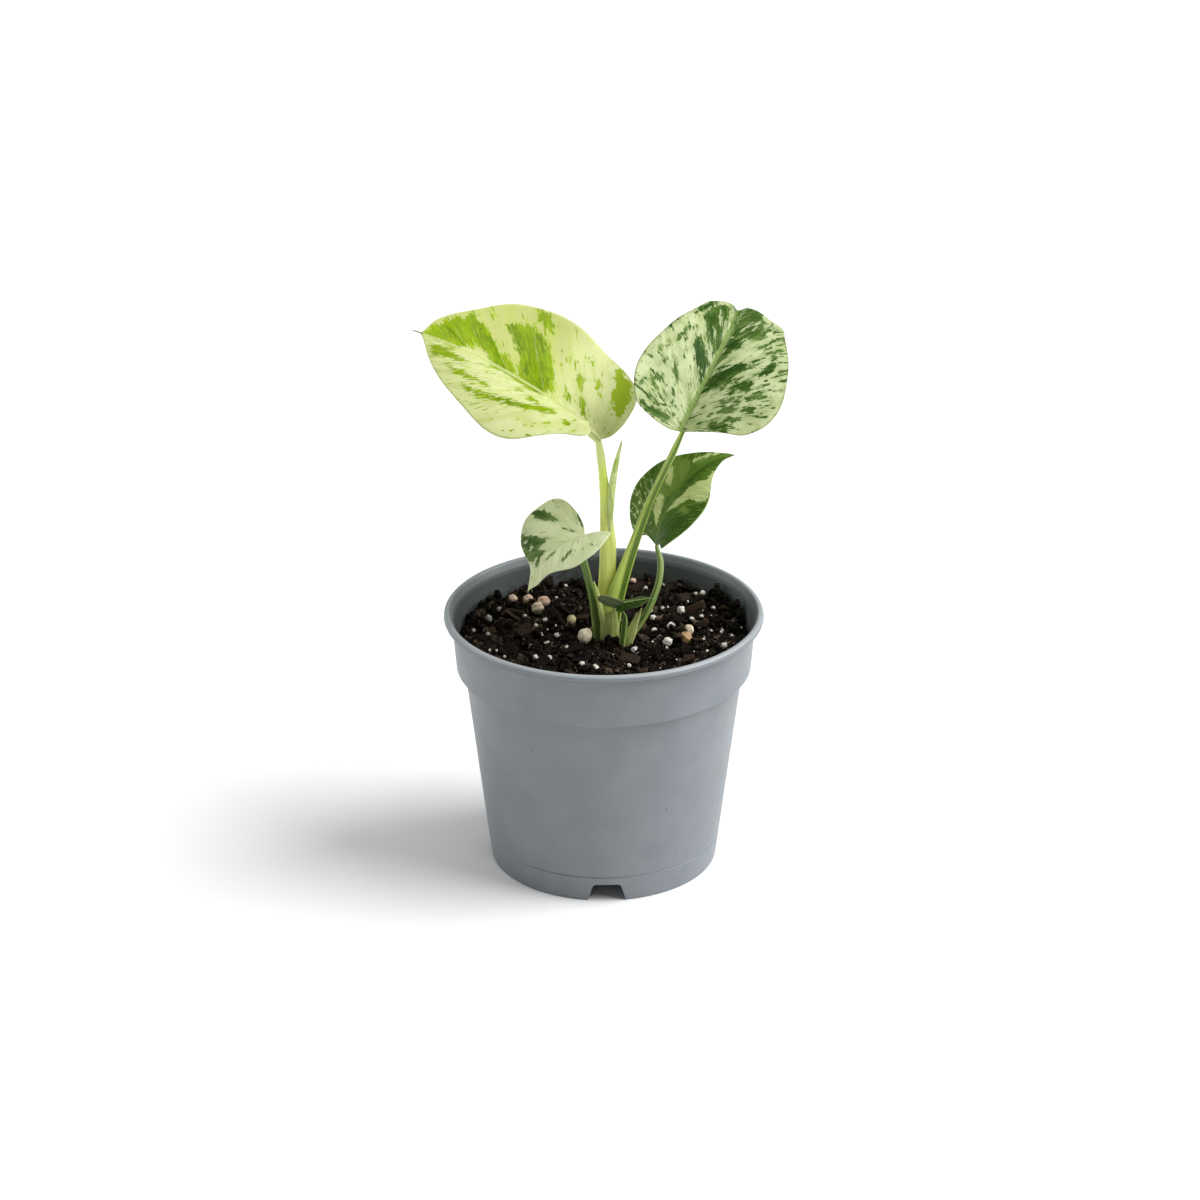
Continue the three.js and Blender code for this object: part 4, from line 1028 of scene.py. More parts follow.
def stalk_finish(name, body, pale, dark, channel_share, fade=NO_FADE, painted_foot_light=0.0):
    """Streaks along the stalk, a dark channel with pale edges, a pale wing, a pale end, and painted light
    at its foot.

    Fade says how far along the stalk turns pale, in millimetres. The last share says how strongly the foot
    is painted lighter, a painted light where the blades shade it.
    """
    finish = Finish(name)
    around, along, wing = finish.read("stalk_place").parts()
    facing = finish.read("facing", output=2)
    fibres = finish.drawn_out(around * 1.6, along * 0.05, 3.0)
    lines = finish.drawn_out(around * 4.5, along * 0.04, 9.0, 2.0, 0.5)
    blots = finish.drawn_out(around * 0.3, along * 0.07, 5.0)
    colour = fibres.rise(0.35, 0.65).blend(paint(body), paint(pale))
    colour = (blots.rise(0.5, 0.68) * 0.45).blend(colour, paint(dark))
    colour = (facing.rise(0.7, 0.93) * channel_share).blend(colour, paint(dark))
    edge = facing.rise(0.35, 0.6) * facing.rise(0.8, 0.62)
    colour = (edge * channel_share * 0.9).blend(colour, paint(pale))
    colour = (lines.rise(0.56, 0.66) * 0.3).blend(colour, paint(dark))
    colour = (wing.rise(0.1, 0.6) * 0.8).blend(colour, paint(pale))
    colour = (along.rise(*fade) * 0.85).blend(colour, paint("#cdd490"))
    # Painted light: the foot of the stalk is painted paler, where the blades shade it.
    colour = (along.rise(58, 34) * painted_foot_light).blend(colour, paint("#f6f78c"))
    skin = finish.bumps(lines, 0.15, 0.5)
    shell = finish.surface({
        "Base Color": colour, "Roughness": fibres * 0.2 + 0.28, "Specular IOR Level": 0.45,
        "Normal": skin, **LIVING_TISSUE,
    })
    return finish.done(shell)


lime_stalk = stalk_finish("lime_stalk_skin", "#dbea62", "#e8f09a", "#b4c834", 0.35,
                          fade=(70, 80), painted_foot_light=0.5)
green_stalk = stalk_finish("green_stalk_skin", "#8fab42", "#cade6c", "#4f701a", 0.85)
small_stalk = stalk_finish("small_stalk_skin", "#66843a", "#a0b568", "#42601c", 0.6)
STALK_FINISHES = {"leaf_1": lime_stalk, "leaf_2": green_stalk}


# %% The course of a stalk, from the crown to well under its midrib
def stalk_course(leaf, stalk, stations, run_on):
    base = np.array(leaf["base"], float)
    back = np.array(stalk["route"][-1], float) - base
    neck = base + back / np.linalg.norm(back) * NECK_GAP
    t = np.linspace(0, 1, stations)
    centres = curve_through([*stalk["route"], neck], t, reach_ends=True)
    radii = spread([*stalk["radii"], stalk["neck"]], t)
    wing = spread([*stalk["wing"], 0], t)
    size = math.sqrt(leaf["length"] / 80)
    plain_tail = [(3.5 * size, 0.6 * stalk["neck"]), (10 * size, 0.25 * stalk["neck"])]
    ways, tail_radii = np.array(stalk.get("tail", plain_tail)).T
    rib, _, _, up = midrib(leaf, ways)
    goals = [centres[-2], neck, *(rib - stalk.get("sunk", 0.3) * up)]
    u = np.linspace(1, len(goals) - 1, run_on + 1)[1:] / (len(goals) - 1)
    bend = curve_through(goals, u, reach_ends=True)
    tail = spread([radii[-1], radii[-1], *tail_radii], u)
    return (
        np.vstack([centres, bend]),
        np.concatenate([radii, tail]),
        np.concatenate([wing, np.zeros(run_on)]),
    )


# %% Make a stalk
def distance_along(centres):
    steps = np.linalg.norm(np.diff(centres, axis=0), axis=1)
    return np.concatenate([[0], np.cumsum(steps)])


def make_stalk(name, stations=110, sides=48):
    leaf, stalk = LEAVES[name], STALKS[name]
    centres, radii, wing = stalk_course(leaf, stalk, stations, run_on=16)
    rays, angle = tube_points(centres, stalk["wing_side"], sides)
    channel = np.array(stalk["channel"], float)
    facing = rays @ (channel / np.linalg.norm(channel))
    away = np.arccos(np.clip(facing, -1, 1))
    high = np.linspace(0, 1, len(centres))[:, None]
    groove = stalk["depth"] * np.exp(-((away / 0.4) ** 2)) * soft_step(high, 0.05, 0.25)
    ribs = 0.012 * np.cos(11 * angle + 2 * np.sin(7 * high))
    fin = np.maximum(0, np.cos(angle)) ** 6
    reach = radii[:, None] * (1 - groove + ribs) + wing[:, None] * fin
    points, faces = tube(centres, stalk["wing_side"], reach)
    way = distance_along(centres)
    turn = np.where(angle > np.pi, 2 * np.pi - angle, angle) * radii[:, None]
    in_wing = wing[:, None] * fin / 2.5
    place = np.stack([turn, np.broadcast_to(way[:, None], turn.shape), in_wing], -1).reshape(-1, 3)
    carried = {
        "stalk_place": np.vstack([place, place[:1], place[-1:]]),
        "facing": np.concatenate([facing.ravel(), [0.0, 0.0]]),
    }
    finish = STALK_FINISHES.get(name, small_stalk)
    piece = make_piece(f"{name}_petiole", points, faces, [finish], carried)
    return settle(piece, "lime_stalk" if name == "leaf_1" else "green_stalk", f"{name}_stalk")


for leaf_name in STALKS:
    make_stalk(leaf_name)

# %% [markdown]
# ## The rolled leaf, the sheaths and the crown
#
# The next leaf stands rolled into a spear, one edge lapped over the other, so its section is a
# spiral with a seam. Round the feet of the stalks lie papery sheaths, which are thin open shells.
# They could be flat cards, but their edges catch the light, so they have a thickness.

# %% The rolled new leaf
SPEAR_ROUTE = [(2.1, -0.9, 128.7), (2.5, -0.9, 140.7), (3.2, -0.4, 150.6),
               (4.6, 0.4, 159.5), (6.7, 1.5, 168)]
SPEAR_RADII = [0.7, 1.3, 1.5, 1.1, 0.35]
SPEAR_FACE = (1, -0.2, 0)


def carry_along(centres, angle, radii, extra):
    """The place on a tube that its finish reads: round it, along it, and one value more."""
    way = distance_along(centres)
    turn = angle * np.maximum(radii, 0.3)[:, None]
    shape = (len(centres), len(angle))
    along = np.broadcast_to(way[:, None], shape)
    place = np.stack([turn, along, np.broadcast_to(extra, shape)], -1).reshape(-1, 3)
    return np.vstack([place, place[:1], place[-1:]])


def make_spear(stations=120, sides=64):
    t = np.linspace(0, 1, stations)
    centres = curve_through(SPEAR_ROUTE, t, reach_ends=True)
    radii = spread(SPEAR_RADII, t) * np.minimum(1, 4 * np.sqrt(1.004 - t))
    _, angle = tube_points(centres, SPEAR_FACE, sides)
    lap = (angle / (2 * np.pi) + 0.72 - 0.45 * t[:, None]) % 1
    reach = radii[:, None] * (1 - 0.2 * lap * soft_step(1 - lap, 0, 0.08))
    points, faces = tube(centres, SPEAR_FACE, reach)
    carried = {
        "stalk_place": carry_along(centres, angle, radii, 0 * lap),
        "facing": np.concatenate([lap.ravel(), [0.5, 0.5]]),
    }
    piece = make_piece("rolled_leaf", points, faces, [spear_finish()], carried)
    return settle(piece, "lime_stalk", "new_leaf")


def spear_finish():
    finish = Finish("rolled_leaf_skin")
    around, along, _ = finish.read("stalk_place").parts()
    lap = finish.read("facing", output=2)
    fibres = finish.drawn_out(around * 2.4, along * 0.06, 1.0)
    blots = finish.drawn_out(around * 0.5, along * 0.12, 4.0, 2.0, 0.5)
    colour = fibres.rise(0.38, 0.62).blend(paint("#c2d178"), paint("#dfe8ab"))
    colour = (blots.rise(0.5, 0.6) * 0.7).blend(colour, paint("#9bb84e"))
    colour = (lap.rise(0.9, 0.99) * 0.6).blend(colour, paint("#7c8f3a"))
    colour = along.rise(35, 40).blend(colour, paint("#a3b07a"))
    shell = finish.surface({
        "Base Color": colour, "Roughness": 0.4, "Normal": finish.bumps(fibres, 0.1, 0.4),
        **LIVING_TISSUE,
    })
    return finish.done(shell)


make_spear()


# %% The bud sheath
def sheath_finish(name, pale, green, dry):
    finish = Finish(name)
    around, along, edge = finish.read("stalk_place").parts()
    veins = finish.drawn_out(around * 3.0, along * 0.08, 2.0)
    blots = finish.drawn_out(around * 0.4, along * 0.15, 6.0, roughness=0.55)
    colour = veins.rise(0.38, 0.64).blend(paint(green), paint(pale))
    colour = (blots.rise(0.52, 0.66) * 0.6).blend(colour, paint(dry))
    colour = (edge.rise(0.75, 0.95) * 0.7).blend(colour, paint(dry))
    body = finish.surface({
        "Base Color": colour, "Roughness": 0.5, "Normal": finish.bumps(veins, 0.12, 0.6),
    })
    through = finish.node("ShaderNodeBsdfTranslucent", {}, {"Color": paint(pale)})
    return finish.done(finish.node("ShaderNodeMixShader", {}, {0: 0.25, 1: body, 2: through}))


papery = sheath_finish("papery_sheath", "#e8efae", "#b8cd5a", "#c2c474")


BUD_ROUTE = [(0.9, -6.3, 85.6), (0.5, -6.4, 94), (-0.9, -6.1, 102),
             (-2.1, -5.4, 108.5), (-3.7, -4.6, 113.8)]


def make_bud_sheath(stations=90, sides=40):
    t = np.linspace(0, 1, stations)
    centres = curve_through(BUD_ROUTE, t, reach_ends=True)
    radii = spread([1.3, 1.3, 1.15, 0.8, 0.3], t)
    _, angle = tube_points(centres, (1, 0, 0), sides)
    keel = 0.09 * np.cos(angle - 1.2) ** 8 + 0.03 * np.cos(9 * angle)
    reach = radii[:, None] * (0.94 + keel)
    points, faces = tube(centres, (1, 0, 0), reach)
    carried = {"stalk_place": carry_along(centres, angle, radii, 0.0)}
    piece = make_piece("pointed_sheath", points, faces, [papery], carried)
    return settle(piece, "pale_sheath", "bud_sheath")


make_bud_sheath()


# %% Papery shells round the stalks' feet
def make_shell(name, node, slot, route, radius, opening, top, thickness=0.3):
    """A thin shell bent part way round a line, with a slanted top edge."""
    stations, sides = 60, 36
    t = np.linspace(0, 1, stations)
    share = np.linspace(0, 1, sides)
    middle, spread_angle = opening
    high = t[:, None] * (top[0] + (top[1] - top[0]) * share + 0.05 * np.sin(9 * share))
    where = curve_through(route, high.ravel(), reach_ends=True).reshape(stations, sides, 3)
    width = spread_angle * (1 - 0.55 * t[:, None] ** 2)
    angle = middle + width * (share - 0.5)
    ray = np.stack([np.cos(angle), np.sin(angle), 0 * angle], -1)
    reach = spread(radius, t)[:, None] * (1 + 0.02 * np.sin(23 * share))
    outer = where + ray * reach[..., None]
    inner = where + ray * (reach - thickness * (1 - 0.6 * np.abs(2 * share - 1) ** 4))[..., None]
    grid = np.arange(stations * sides).reshape(stations, sides)
    a, b, c, d = grid[:-1, :-1], grid[:-1, 1:], grid[1:, 1:], grid[1:, :-1]
    skin = np.stack([a, b, c, d], -1).reshape(-1, 4)
    faces = skin.tolist() + (skin[:, ::-1] + grid.size).tolist()
    for edge in (grid[:, 0][::-1], grid[0], grid[:, -1], grid[-1][::-1]):
        here, there = edge[:-1], edge[1:]
        faces += np.stack([there, here, here + grid.size, there + grid.size], -1).tolist()
    border = np.maximum(np.abs(2 * share - 1), t[:, None]) + 0 * high
    place = np.stack([angle * reach, t[:, None] * 10 + 0 * angle, border], -1).reshape(-1, 3)
    points = np.vstack([outer.reshape(-1, 3), inner.reshape(-1, 3)])
    piece = make_piece(name, points, faces, [papery], {"stalk_place": np.vstack([place, place])})
    weld(piece, 0.001)
    return settle(piece, slot, node)


make_shell("front_sheath", "bud_sheath", "pale_sheath",
           [(2.4, -3.6, 86), (2.5, -3.8, 97), (2.9, -3.8, 106)], [4.4, 4.2, 3.4],
           (-1.7, 2.3), (0.72, 1.0))
make_shell("side_sheath", "leaf_3_stalk", "green_stalk",
           [(7.4, -6.0, 86), (10.2, -6.6, 94), (13.9, -5.9, 104.2)], [2.6, 2.7, 1.5],
           (-1.9, 2.5), (0.84, 1.0))


# %% The crown and its roots, all under the mix
def make_roots():
    finish = Finish("root_skin")
    where = finish.place()
    rough = finish.cloud(where, 0.8, 4.0, 0.6)
    colour = rough.rise(0.3, 0.7).blend(paint("#5c4128"), paint("#b08e5e"))
    shell = finish.surface({
        "Base Color": colour, "Roughness": 0.75, "Normal": finish.bumps(rough, 0.4),
    })
    finish.done(shell)
    t = np.linspace(0, 1, 40)
    crown = curve_through([(3, -4, 58), (3, -4, 66), (2.8, -4, 75), (2.8, -4, 83.5)], t, reach_ends=True)
    angle = np.arange(48) * 2 * np.pi / 48
    rings = 1 - 0.03 * (0.5 + 0.5 * np.cos(60 * t))[:, None] - 0.02 * np.cos(9 * angle) ** 2
    parts = [tube(crown, (1, 0, 0), spread([1.2, 4.2, 6, 6.6], t)[:, None] * rings)]
    rng = np.random.default_rng(5)
    for i in range(6):
        turn = (i + 0.3) * math.pi / 3
        reach = 20 + 8 * math.sin(2.4 * i)
        drop = 22 + 10 * math.cos(1.7 * i)
        start = np.array([3, -4, 72 - 2 * (i % 3)], float)
        route = [
            start + [reach * share * math.cos(turn), reach * share * math.sin(turn), -drop * fall]
            for share, fall in ((0, 0), (0.35, 0.1), (0.75, 0.45), (1, 1))
        ]
        t = np.linspace(0, 1, 48)
        line = curve_through(route, t, reach_ends=True)
        knots = 1 + 0.06 * np.sin(40 * t[:, None] + np.arange(20) * 0.3)
        parts.append(tube(line, (0, 0, 1), spread([1.7, 1.3, 0.9, 0.5], t)[:, None] * knots))
        for _ in range(7):
            foot = line[rng.integers(8, 40)]
            way = rng.normal(size=3) * [1, 1, 0.6] - [0, 0, 0.8]
            way /= np.linalg.norm(way)
            bend = rng.normal(size=3) * 1.5
            hair = np.array([foot, foot + way * 3 + bend * 0.3, foot + way * 6 + bend])
            rootlet = curve_through(hair, np.linspace(0, 1, 12), reach_ends=True)
            parts.append(tube(rootlet, (0.3, 0.5, 1), np.linspace(0.3, 0.1, 12)[:, None] * np.ones(8)))
    piece = make_piece("crown_roots", *joined(parts), [finish.material])
    return settle(piece, "root", "root_crown")


make_roots()

# %% [markdown]
# ## The pot
#
# A thin injection-moulded nursery pot. Its section, turned round the axis, gives the tapered wall,
# the fine step near the foot, the slanted collar and the rolled rim. All corners are rounded, since
# a sharp moulding would show no highlight along its edges. The notches and holes are then cut out.

# %% Sizes of the pot, as in the construction
POT = {
    "height": 100.5, "wall": 1.0, "base": 43.0, "neck": 52.4, "collar_foot": 77.5,
    "collar_low": 55.4, "collar_high": 57.0, "step": 0.8, "rim": 60.0, "rim_height": 2.8,
    "rim_inner": 57.4, "line": 10.3, "line_depth": 0.35, "floor": 8.0, "floor_wall": 1.2, "foot_wall": 1.9,
}


def wall_radius(z):
    return POT["base"] + (POT["neck"] - POT["base"]) * z / POT["collar_foot"]


def inside_outline(inset):
    top = POT["floor"] + POT["floor_wall"]
    shift = POT["wall"] + inset
    return [
        (wall_radius(top) - shift, top + inset),
        (POT["neck"] - shift, POT["collar_foot"] + inset),
        (POT["collar_low"] - shift, POT["collar_foot"] + POT["step"] + POT["wall"] + inset),
        (POT["collar_high"] - shift, POT["height"] - POT["rim_height"] - 1),
    ]


# %% Round the corners of a section
def rounded(corners, radius, closed, pieces=5):
    """Corners come as radius and height, and each may bring its own rounding as a third value."""
    points = [np.array(c[:2], float) for c in corners]
    rounds = [c[2] if len(c) > 2 else radius for c in corners]
    count = len(points)
    out = []
    for i, here in enumerate(points):
        if not closed and i in (0, count - 1):
            out.append(here)
            continue
        before, after = points[i - 1], points[(i + 1) % count]
        back, on = before - here, after - here
        cut = min(rounds[i], 0.45 * np.linalg.norm(back), 0.45 * np.linalg.norm(on))
        first = here + back / np.linalg.norm(back) * cut
        last = here + on / np.linalg.norm(on) * cut
        for u in np.linspace(0, 1, pieces):
            out.append((1 - u) ** 2 * first + 2 * u * (1 - u) * here + u**2 * last)
    return np.array(out)


# %% Add rows of points beside the corners, so that flat walls stay flat in the light
def with_support(section, reach=0.25):
    out = [section[0]]
    for here, there in zip(section[:-1], section[1:]):
        run = np.linalg.norm(there - here)
        if run > 4 * reach:
            out.append(here + (there - here) * reach / run)
            for share in np.linspace(0, 1, max(2, int(run / 8)))[1:-1]:
                out.append(here + (there - here) * share)
            out.append(there - (there - here) * reach / run)
        out.append(there)
    return np.array(out)


def turned(section, sides):
    """Turns a section round the axis. Points on the axis are welded afterwards."""
    angle = np.arange(sides) * 2 * np.pi / sides
    ring = np.stack([np.cos(angle), np.sin(angle)], -1)
    points = np.concatenate([
        section[:, None, :1] * ring, np.broadcast_to(section[:, None, 1:], (len(section), sides, 1)),
    ], -1).reshape(-1, 3)
    faces = []
    for i in range(len(section) - 1):
        faces += ring_faces(i * sides, sides)
    return points, faces


# %% The section of the pot
def pot_section():
    rim_foot = POT["height"] - POT["rim_height"]
    line = POT["line"]
    outside = [
        (0, POT["floor"]), (wall_radius(POT["floor"]) - POT["foot_wall"], POT["floor"], 0.6),
        (POT["base"] - POT["foot_wall"], 0, 0.5), (POT["base"], 0, 0.5),
        (wall_radius(line - 0.4), line - 0.4, 0.15),
        (wall_radius(line) - POT["line_depth"], line, 0.12),
        (wall_radius(line + 0.4), line + 0.4, 0.15),
        (POT["neck"], POT["collar_foot"], 0.5), (POT["collar_low"], POT["collar_foot"] + POT["step"], 0.5),
        (POT["collar_high"], rim_foot, 0.3), (POT["rim"] - 0.3, rim_foot + 0.2, 0.3),
        (POT["rim"], rim_foot + 0.9, 0.5), (POT["rim"] - 0.2, POT["height"] - 0.7, 0.5),
        (POT["rim"] - 1, POT["height"], 0.5), (POT["rim_inner"] + 0.5, POT["height"], 0.4),
        (POT["rim_inner"], POT["height"] - 0.5, 0.4),
    ]
    inside = list(reversed(inside_outline(0)))
    corners = [*outside, *inside, (0, POT["floor"] + POT["floor_wall"])]
    return with_support(rounded(corners, 0.6, closed=False))


# %% The finish of the pot
def pot_finish():
    """Grey plastic with a satin skin: faint mottling, scuffs, a few crumbs of soil and dust.
    Painted shade darkens the inner wall, a painted shadow runs under the lip and a painted highlight along
    its top.
    """
    finish = Finish("nursery_pot_plastic")
    where = finish.place()
    x, y, z = where.parts()
    mottle = finish.cloud(where, 0.06, 3.0, 0.55)
    grain = finish.cloud(where, 6.0, 2.0, 0.5)
    dust = finish.cloud(where, 0.35, 5.0, 0.7)
    stretched = finish.vector(x * 0.5, y * 0.5, z * 2.2)
    scuffs = finish.cloud(stretched, 0.5, 5.0, 0.75)
    colour = mottle.rise(0.3, 0.7).blend(paint("#767c81"), paint("#7d8388"))
    colour = (scuffs.rise(0.6, 0.72) * 0.12).blend(colour, paint("#aeb3b6"))
    reach = finish.node("ShaderNodeVectorMath", {"operation": "LENGTH"}, {0: finish.vector(x, y, 0.0)})
    inner = (reach - z * 0.0825).rise(48.6, 48.3) * z.rise(84, 86)
    stain = dust.rise(0.46, 0.6) * z.rise(96, 88)
    # Painted shade: the inner wall above the mix is painted darker, a little more so away from its right
    # side.
    colour = (inner * x.rise(45, 5) * 0.14 + inner * 0.5).blend(colour, paint("#3a403e"))
    foot, top = POT["height"] - POT["rim_height"], POT["height"]
    # Painted shadow: a dark line along the lower edge of the lip's outer face.
    lip_shadow_line = z.rise(foot + 0.9, foot + 0.5) * z.rise(foot - 0.4, foot) * reach.rise(58, 59)
    colour = (lip_shadow_line * 0.7).blend(colour, paint("#4c5052"))
    # Painted highlight: a lighter band along the top of the lip.
    lip_highlight = z.rise(top - 1.2, top - 0.3) * reach.rise(57.8, 58.2)
    colour = (lip_highlight * 0.6).blend(colour, paint("#a7acaf"))
    colour = (inner * stain * 0.8).blend(colour, paint("#39322a"))
    smudge = dust.rise(0.6, 0.68) * z.rise(76, 60) * 0.1
    colour = smudge.blend(colour, paint("#5c5951"))
    speck = finish.cells(where, 0.1).rise(0.05, 0.03)
    colour = (speck * mottle.rise(0.46, 0.5) * 0.75).blend(colour, paint("#4b463e"))
    skin = finish.bumps(grain * 0.6 + dust * 0.4, 0.05, 0.5)
    shell = finish.surface({
        "Base Color": colour, "Roughness": 0.43 + (scuffs - 0.5) * 0.25 + inner * 0.15,
        "Specular IOR Level": 0.45, "Normal": skin,
    })
    return finish.done(shell)


# %% Cut one mesh out of another
def cut_away(piece, tool):
    change = piece.modifiers.new("cut", "BOOLEAN")
    change.operation = "DIFFERENCE"
    change.solver = "EXACT"
    change.object = tool
    seen = piece.evaluated_get(bpy.context.evaluated_depsgraph_get())
    cut_mesh = bpy.data.meshes.new_from_object(seen)
    piece.modifiers.remove(change)
    piece.data = cut_mesh
    bpy.data.objects.remove(tool)


def prism(outline, low, high, turn):
    """A block with the given outline in x and z, running along y and turned about the axis."""
    count = len(outline)
    front = np.array([(x, low, z) for x, z in outline])
    back = np.array([(x, high, z) for x, z in outline])
    points = np.vstack([front, back])
    c, s = math.cos(turn), math.sin(turn)
    points[:, :2] = points[:, :2] @ np.array([[c, s], [-s, c]])
    faces = [list(range(count)), list(range(2 * count - 1, count - 1, -1))]
    faces += [[(i + 1) % count, i, i + count, (i + 1) % count + count] for i in range(count)]
    return points, faces


# %% Make the pot
NOTCH = [(-7.42, -1), (7.42, -1), (5.15, 7.2, 1.6), (-5.15, 7.2, 1.6)]
NOTCH_ENDS = (-47.5, -36)
NOTCH_COUNT, HOLE_COUNT = 4, 8
HOLE_SECTION = np.array([(0, 6), (4, 6), (4, 11), (0, 11)])
HOLE_DISTANCE = 29


def make_pot(sides=240):
    points, faces = turned(pot_section(), sides)
    pot = make_piece("nursery_pot", points, faces, [pot_finish()])
    weld(pot, 0.001)
    arch = rounded(NOTCH, 0.01, closed=True)
    for i in range(NOTCH_COUNT):
        block = prism(arch, *NOTCH_ENDS, math.radians(1.6) + i * 2 * math.pi / NOTCH_COUNT)
        tool = make_piece(f"notch_tool_{i}", *block, [])
        weld(tool, 0.001)
        cut_away(pot, tool)
    for i in range(HOLE_COUNT):
        angle = (i + 0.5) * 2 * math.pi / HOLE_COUNT
        x, y = HOLE_DISTANCE * math.cos(angle), HOLE_DISTANCE * math.sin(angle)
        ring, skin = turned(HOLE_SECTION, 48)
        tool = make_piece(f"hole_tool_{i}", ring + [x, y, 0], skin, [])
        weld(tool, 0.001)
        cut_away(pot, tool)
    pot.data.shade_smooth()
    pot.data.set_sharp_from_angle(angle=math.radians(38))
    return settle(pot, "pot_plastic", "pot")


make_pot()

# %% [markdown]
# ## The potting mix
#
# A real mix is a heap of crumbs, bark, fibres and perlite. A bumpy sheet alone would look like a
# cake, and a heap of loose grains from a physics run would not land in the same places each time.
# So a lumpy plug fills the pot, and crumbs of many sizes are half sunk into it by a fixed draw.

# %% The height of the mix
MIX_BRIM = 87.5
MIX_RADIUS = 53.4
CROWN_X, CROWN_Y, CROWN_CLEARANCE = 3, -4, 6.5


def mix_height(x, y):
    """The level of the mix away from the wall, in millimetres over the floor."""
    lumps = np.sin(x * 0.21 + 1) * np.cos(y * 0.18 - 0.6)
    lumps = lumps + 0.7 * np.sin(x * 0.43 - y * 0.31 + 2) + 0.5 * np.cos(x * 0.29 + y * 0.57)
    return 89.5 + 1.2 * lumps


def fine_height(points, scale, seed):
    """Blender's own noise at each point, from about -1 to 1."""
    offset = Vector((seed, 2 * seed, 0))
    return np.array([noise.fractal(Vector(p) * scale + offset, 0.9, 2.1, 4) for p in points])


# %% The finish of the mix
def mix_finish(name, dark, brown, pale, by_lump):
    finish = Finish(name)
    where = finish.place()
    rough = finish.cloud(where, 1.4, 5.0, 0.65)
    broad = finish.cloud(where, 0.12, 3.0, 0.6)
    colour = rough.rise(0.35, 0.7).blend(paint(dark), paint(brown))
    colour = (broad.rise(0.45, 0.65) * 0.4).blend(colour, paint(dark))
    if by_lump:
        tint = finish.read("tint", output=2)
        colour = (tint.rise(0.55, 1.0) * 0.7).blend(colour, paint(pale))
        colour = (tint.rise(0.35, 0.0) * 0.6).blend(colour, paint(dark))
    else:
        colour = (rough.rise(0.62, 0.78) * 0.4).blend(colour, paint(pale))
    shell = finish.surface({
        "Base Color": colour, "Roughness": 0.95, "Specular IOR Level": 0.1,
        "Normal": finish.bumps(rough, 0.7),
    })
    return finish.done(shell)


peat = mix_finish("peat", "#080705", "#211a14", "#3f3228", by_lump=False)
crumb_skin = mix_finish("peat_crumbs", "#0a0806", "#30281f", "#756453", by_lump=True)
bark_skin = mix_finish("bark_chips", "#0d0a08", "#251d17", "#4b3b2f", by_lump=True)


# %% The plug of mix
def make_mix_ground(sides=300, rings=100):
    side = inside_outline(0.35)
    low, high = side[2], side[3]
    brim_radius = low[0] + (high[0] - low[0]) * (MIX_BRIM - low[1]) / (high[1] - low[1])
    wall = with_support(np.array([(0, side[0][1]), *side[:3], (brim_radius, MIX_BRIM)]), 0.4)
    points, faces = turned(wall, sides)
    share = 1 - np.linspace(0, 1, rings + 1)[1:] ** 0.9
    angle = np.arange(sides) * 2 * np.pi / sides
    radius = brim_radius * share[:, None]
    x, y = radius * np.cos(angle), radius * np.sin(angle)
    flat = np.stack([x, y, 0 * x], -1).reshape(-1, 3)
    rough = 1.1 * fine_height(flat, 0.35, 3) + 0.35 * fine_height(flat, 1.4, 8)
    rise = soft_step(brim_radius - np.hypot(flat[:, 0], flat[:, 1]), 0, 4)
    height = MIX_BRIM + (mix_height(flat[:, 0], flat[:, 1]) + rough - 0.5 - MIX_BRIM) * rise
    flat[:, 2] = np.minimum(height, 94)
    first = len(points) - sides
    for i in range(rings):
        faces += ring_faces(first + i * sides, sides)
    piece = make_piece("mix_ground", np.vstack([points, flat]), faces, [peat])
    weld(piece, 0.001)
    return settle(piece, "potting_mix", "potting_mix")


make_mix_ground()


# %% Lumps of every size, from one rough ball
def rough_ball(subdivisions):
    grown = bmesh.new()
    bmesh.ops.create_icosphere(grown, subdivisions=subdivisions, radius=1)
    points = np.array([v.co[:] for v in grown.verts])
    faces = np.array([[v.index for v in f.verts] for f in grown.faces])
    grown.free()
    return points, faces


def turn_matrix(rng):
    """An even draw of turns, from a random quaternion."""
    drawn = rng.normal(size=4)
    w, x, y, z = drawn / np.linalg.norm(drawn)
    return np.array([
        [1 - 2 * (y * y + z * z), 2 * (x * y - z * w), 2 * (x * z + y * w)],
        [2 * (x * y + z * w), 1 - 2 * (x * x + z * z), 2 * (y * z - x * w)],
        [2 * (x * z - y * w), 2 * (y * z + x * w), 1 - 2 * (x * x + y * y)],
    ])


def make_lumps(name, lumps, finish, slot, subdivisions, roughness=0.25, blocky=0.0, flat=False):
    """Lumps are places, half sizes, turns and tints. Each gets its own unevenness."""
    ball, skin = rough_ball(subdivisions)
    if blocky:
        ball = np.sign(ball) * np.abs(ball) ** (1 - blocky)
        ball /= np.abs(ball).max(axis=0)
    points, faces, tints = [], [], []
    for i, (place, size, turn, tint) in enumerate(lumps):
        seed = 1.7 * i
        wobble = np.sin(ball @ [2.3, 1.1, 3.1] + seed) * np.sin(ball @ [-1.3, 2.9, 1.7] + 2.1 * seed)
        wobble = wobble + 0.6 * np.sin(ball @ [4.9, -3.7, 4.1] + 3.3 * seed)
        wobble = wobble + 0.3 * np.sin(ball @ [9.1, 7.3, -8.2] + 4.1 * seed) * (subdivisions > 2)
        own = ball * (1 + roughness * wobble)[:, None] * size
        points.append(own @ turn.T + place)
        faces.append(skin + i * len(ball))
        tints.append(np.full(len(ball), tint))
    carried = {"tint": np.concatenate(tints)}
    piece = make_piece(name, np.vstack(points), np.vstack(faces).tolist(), [finish], carried)
    if flat:
        piece.data.shade_flat()
    return settle(piece, slot, "potting_mix")


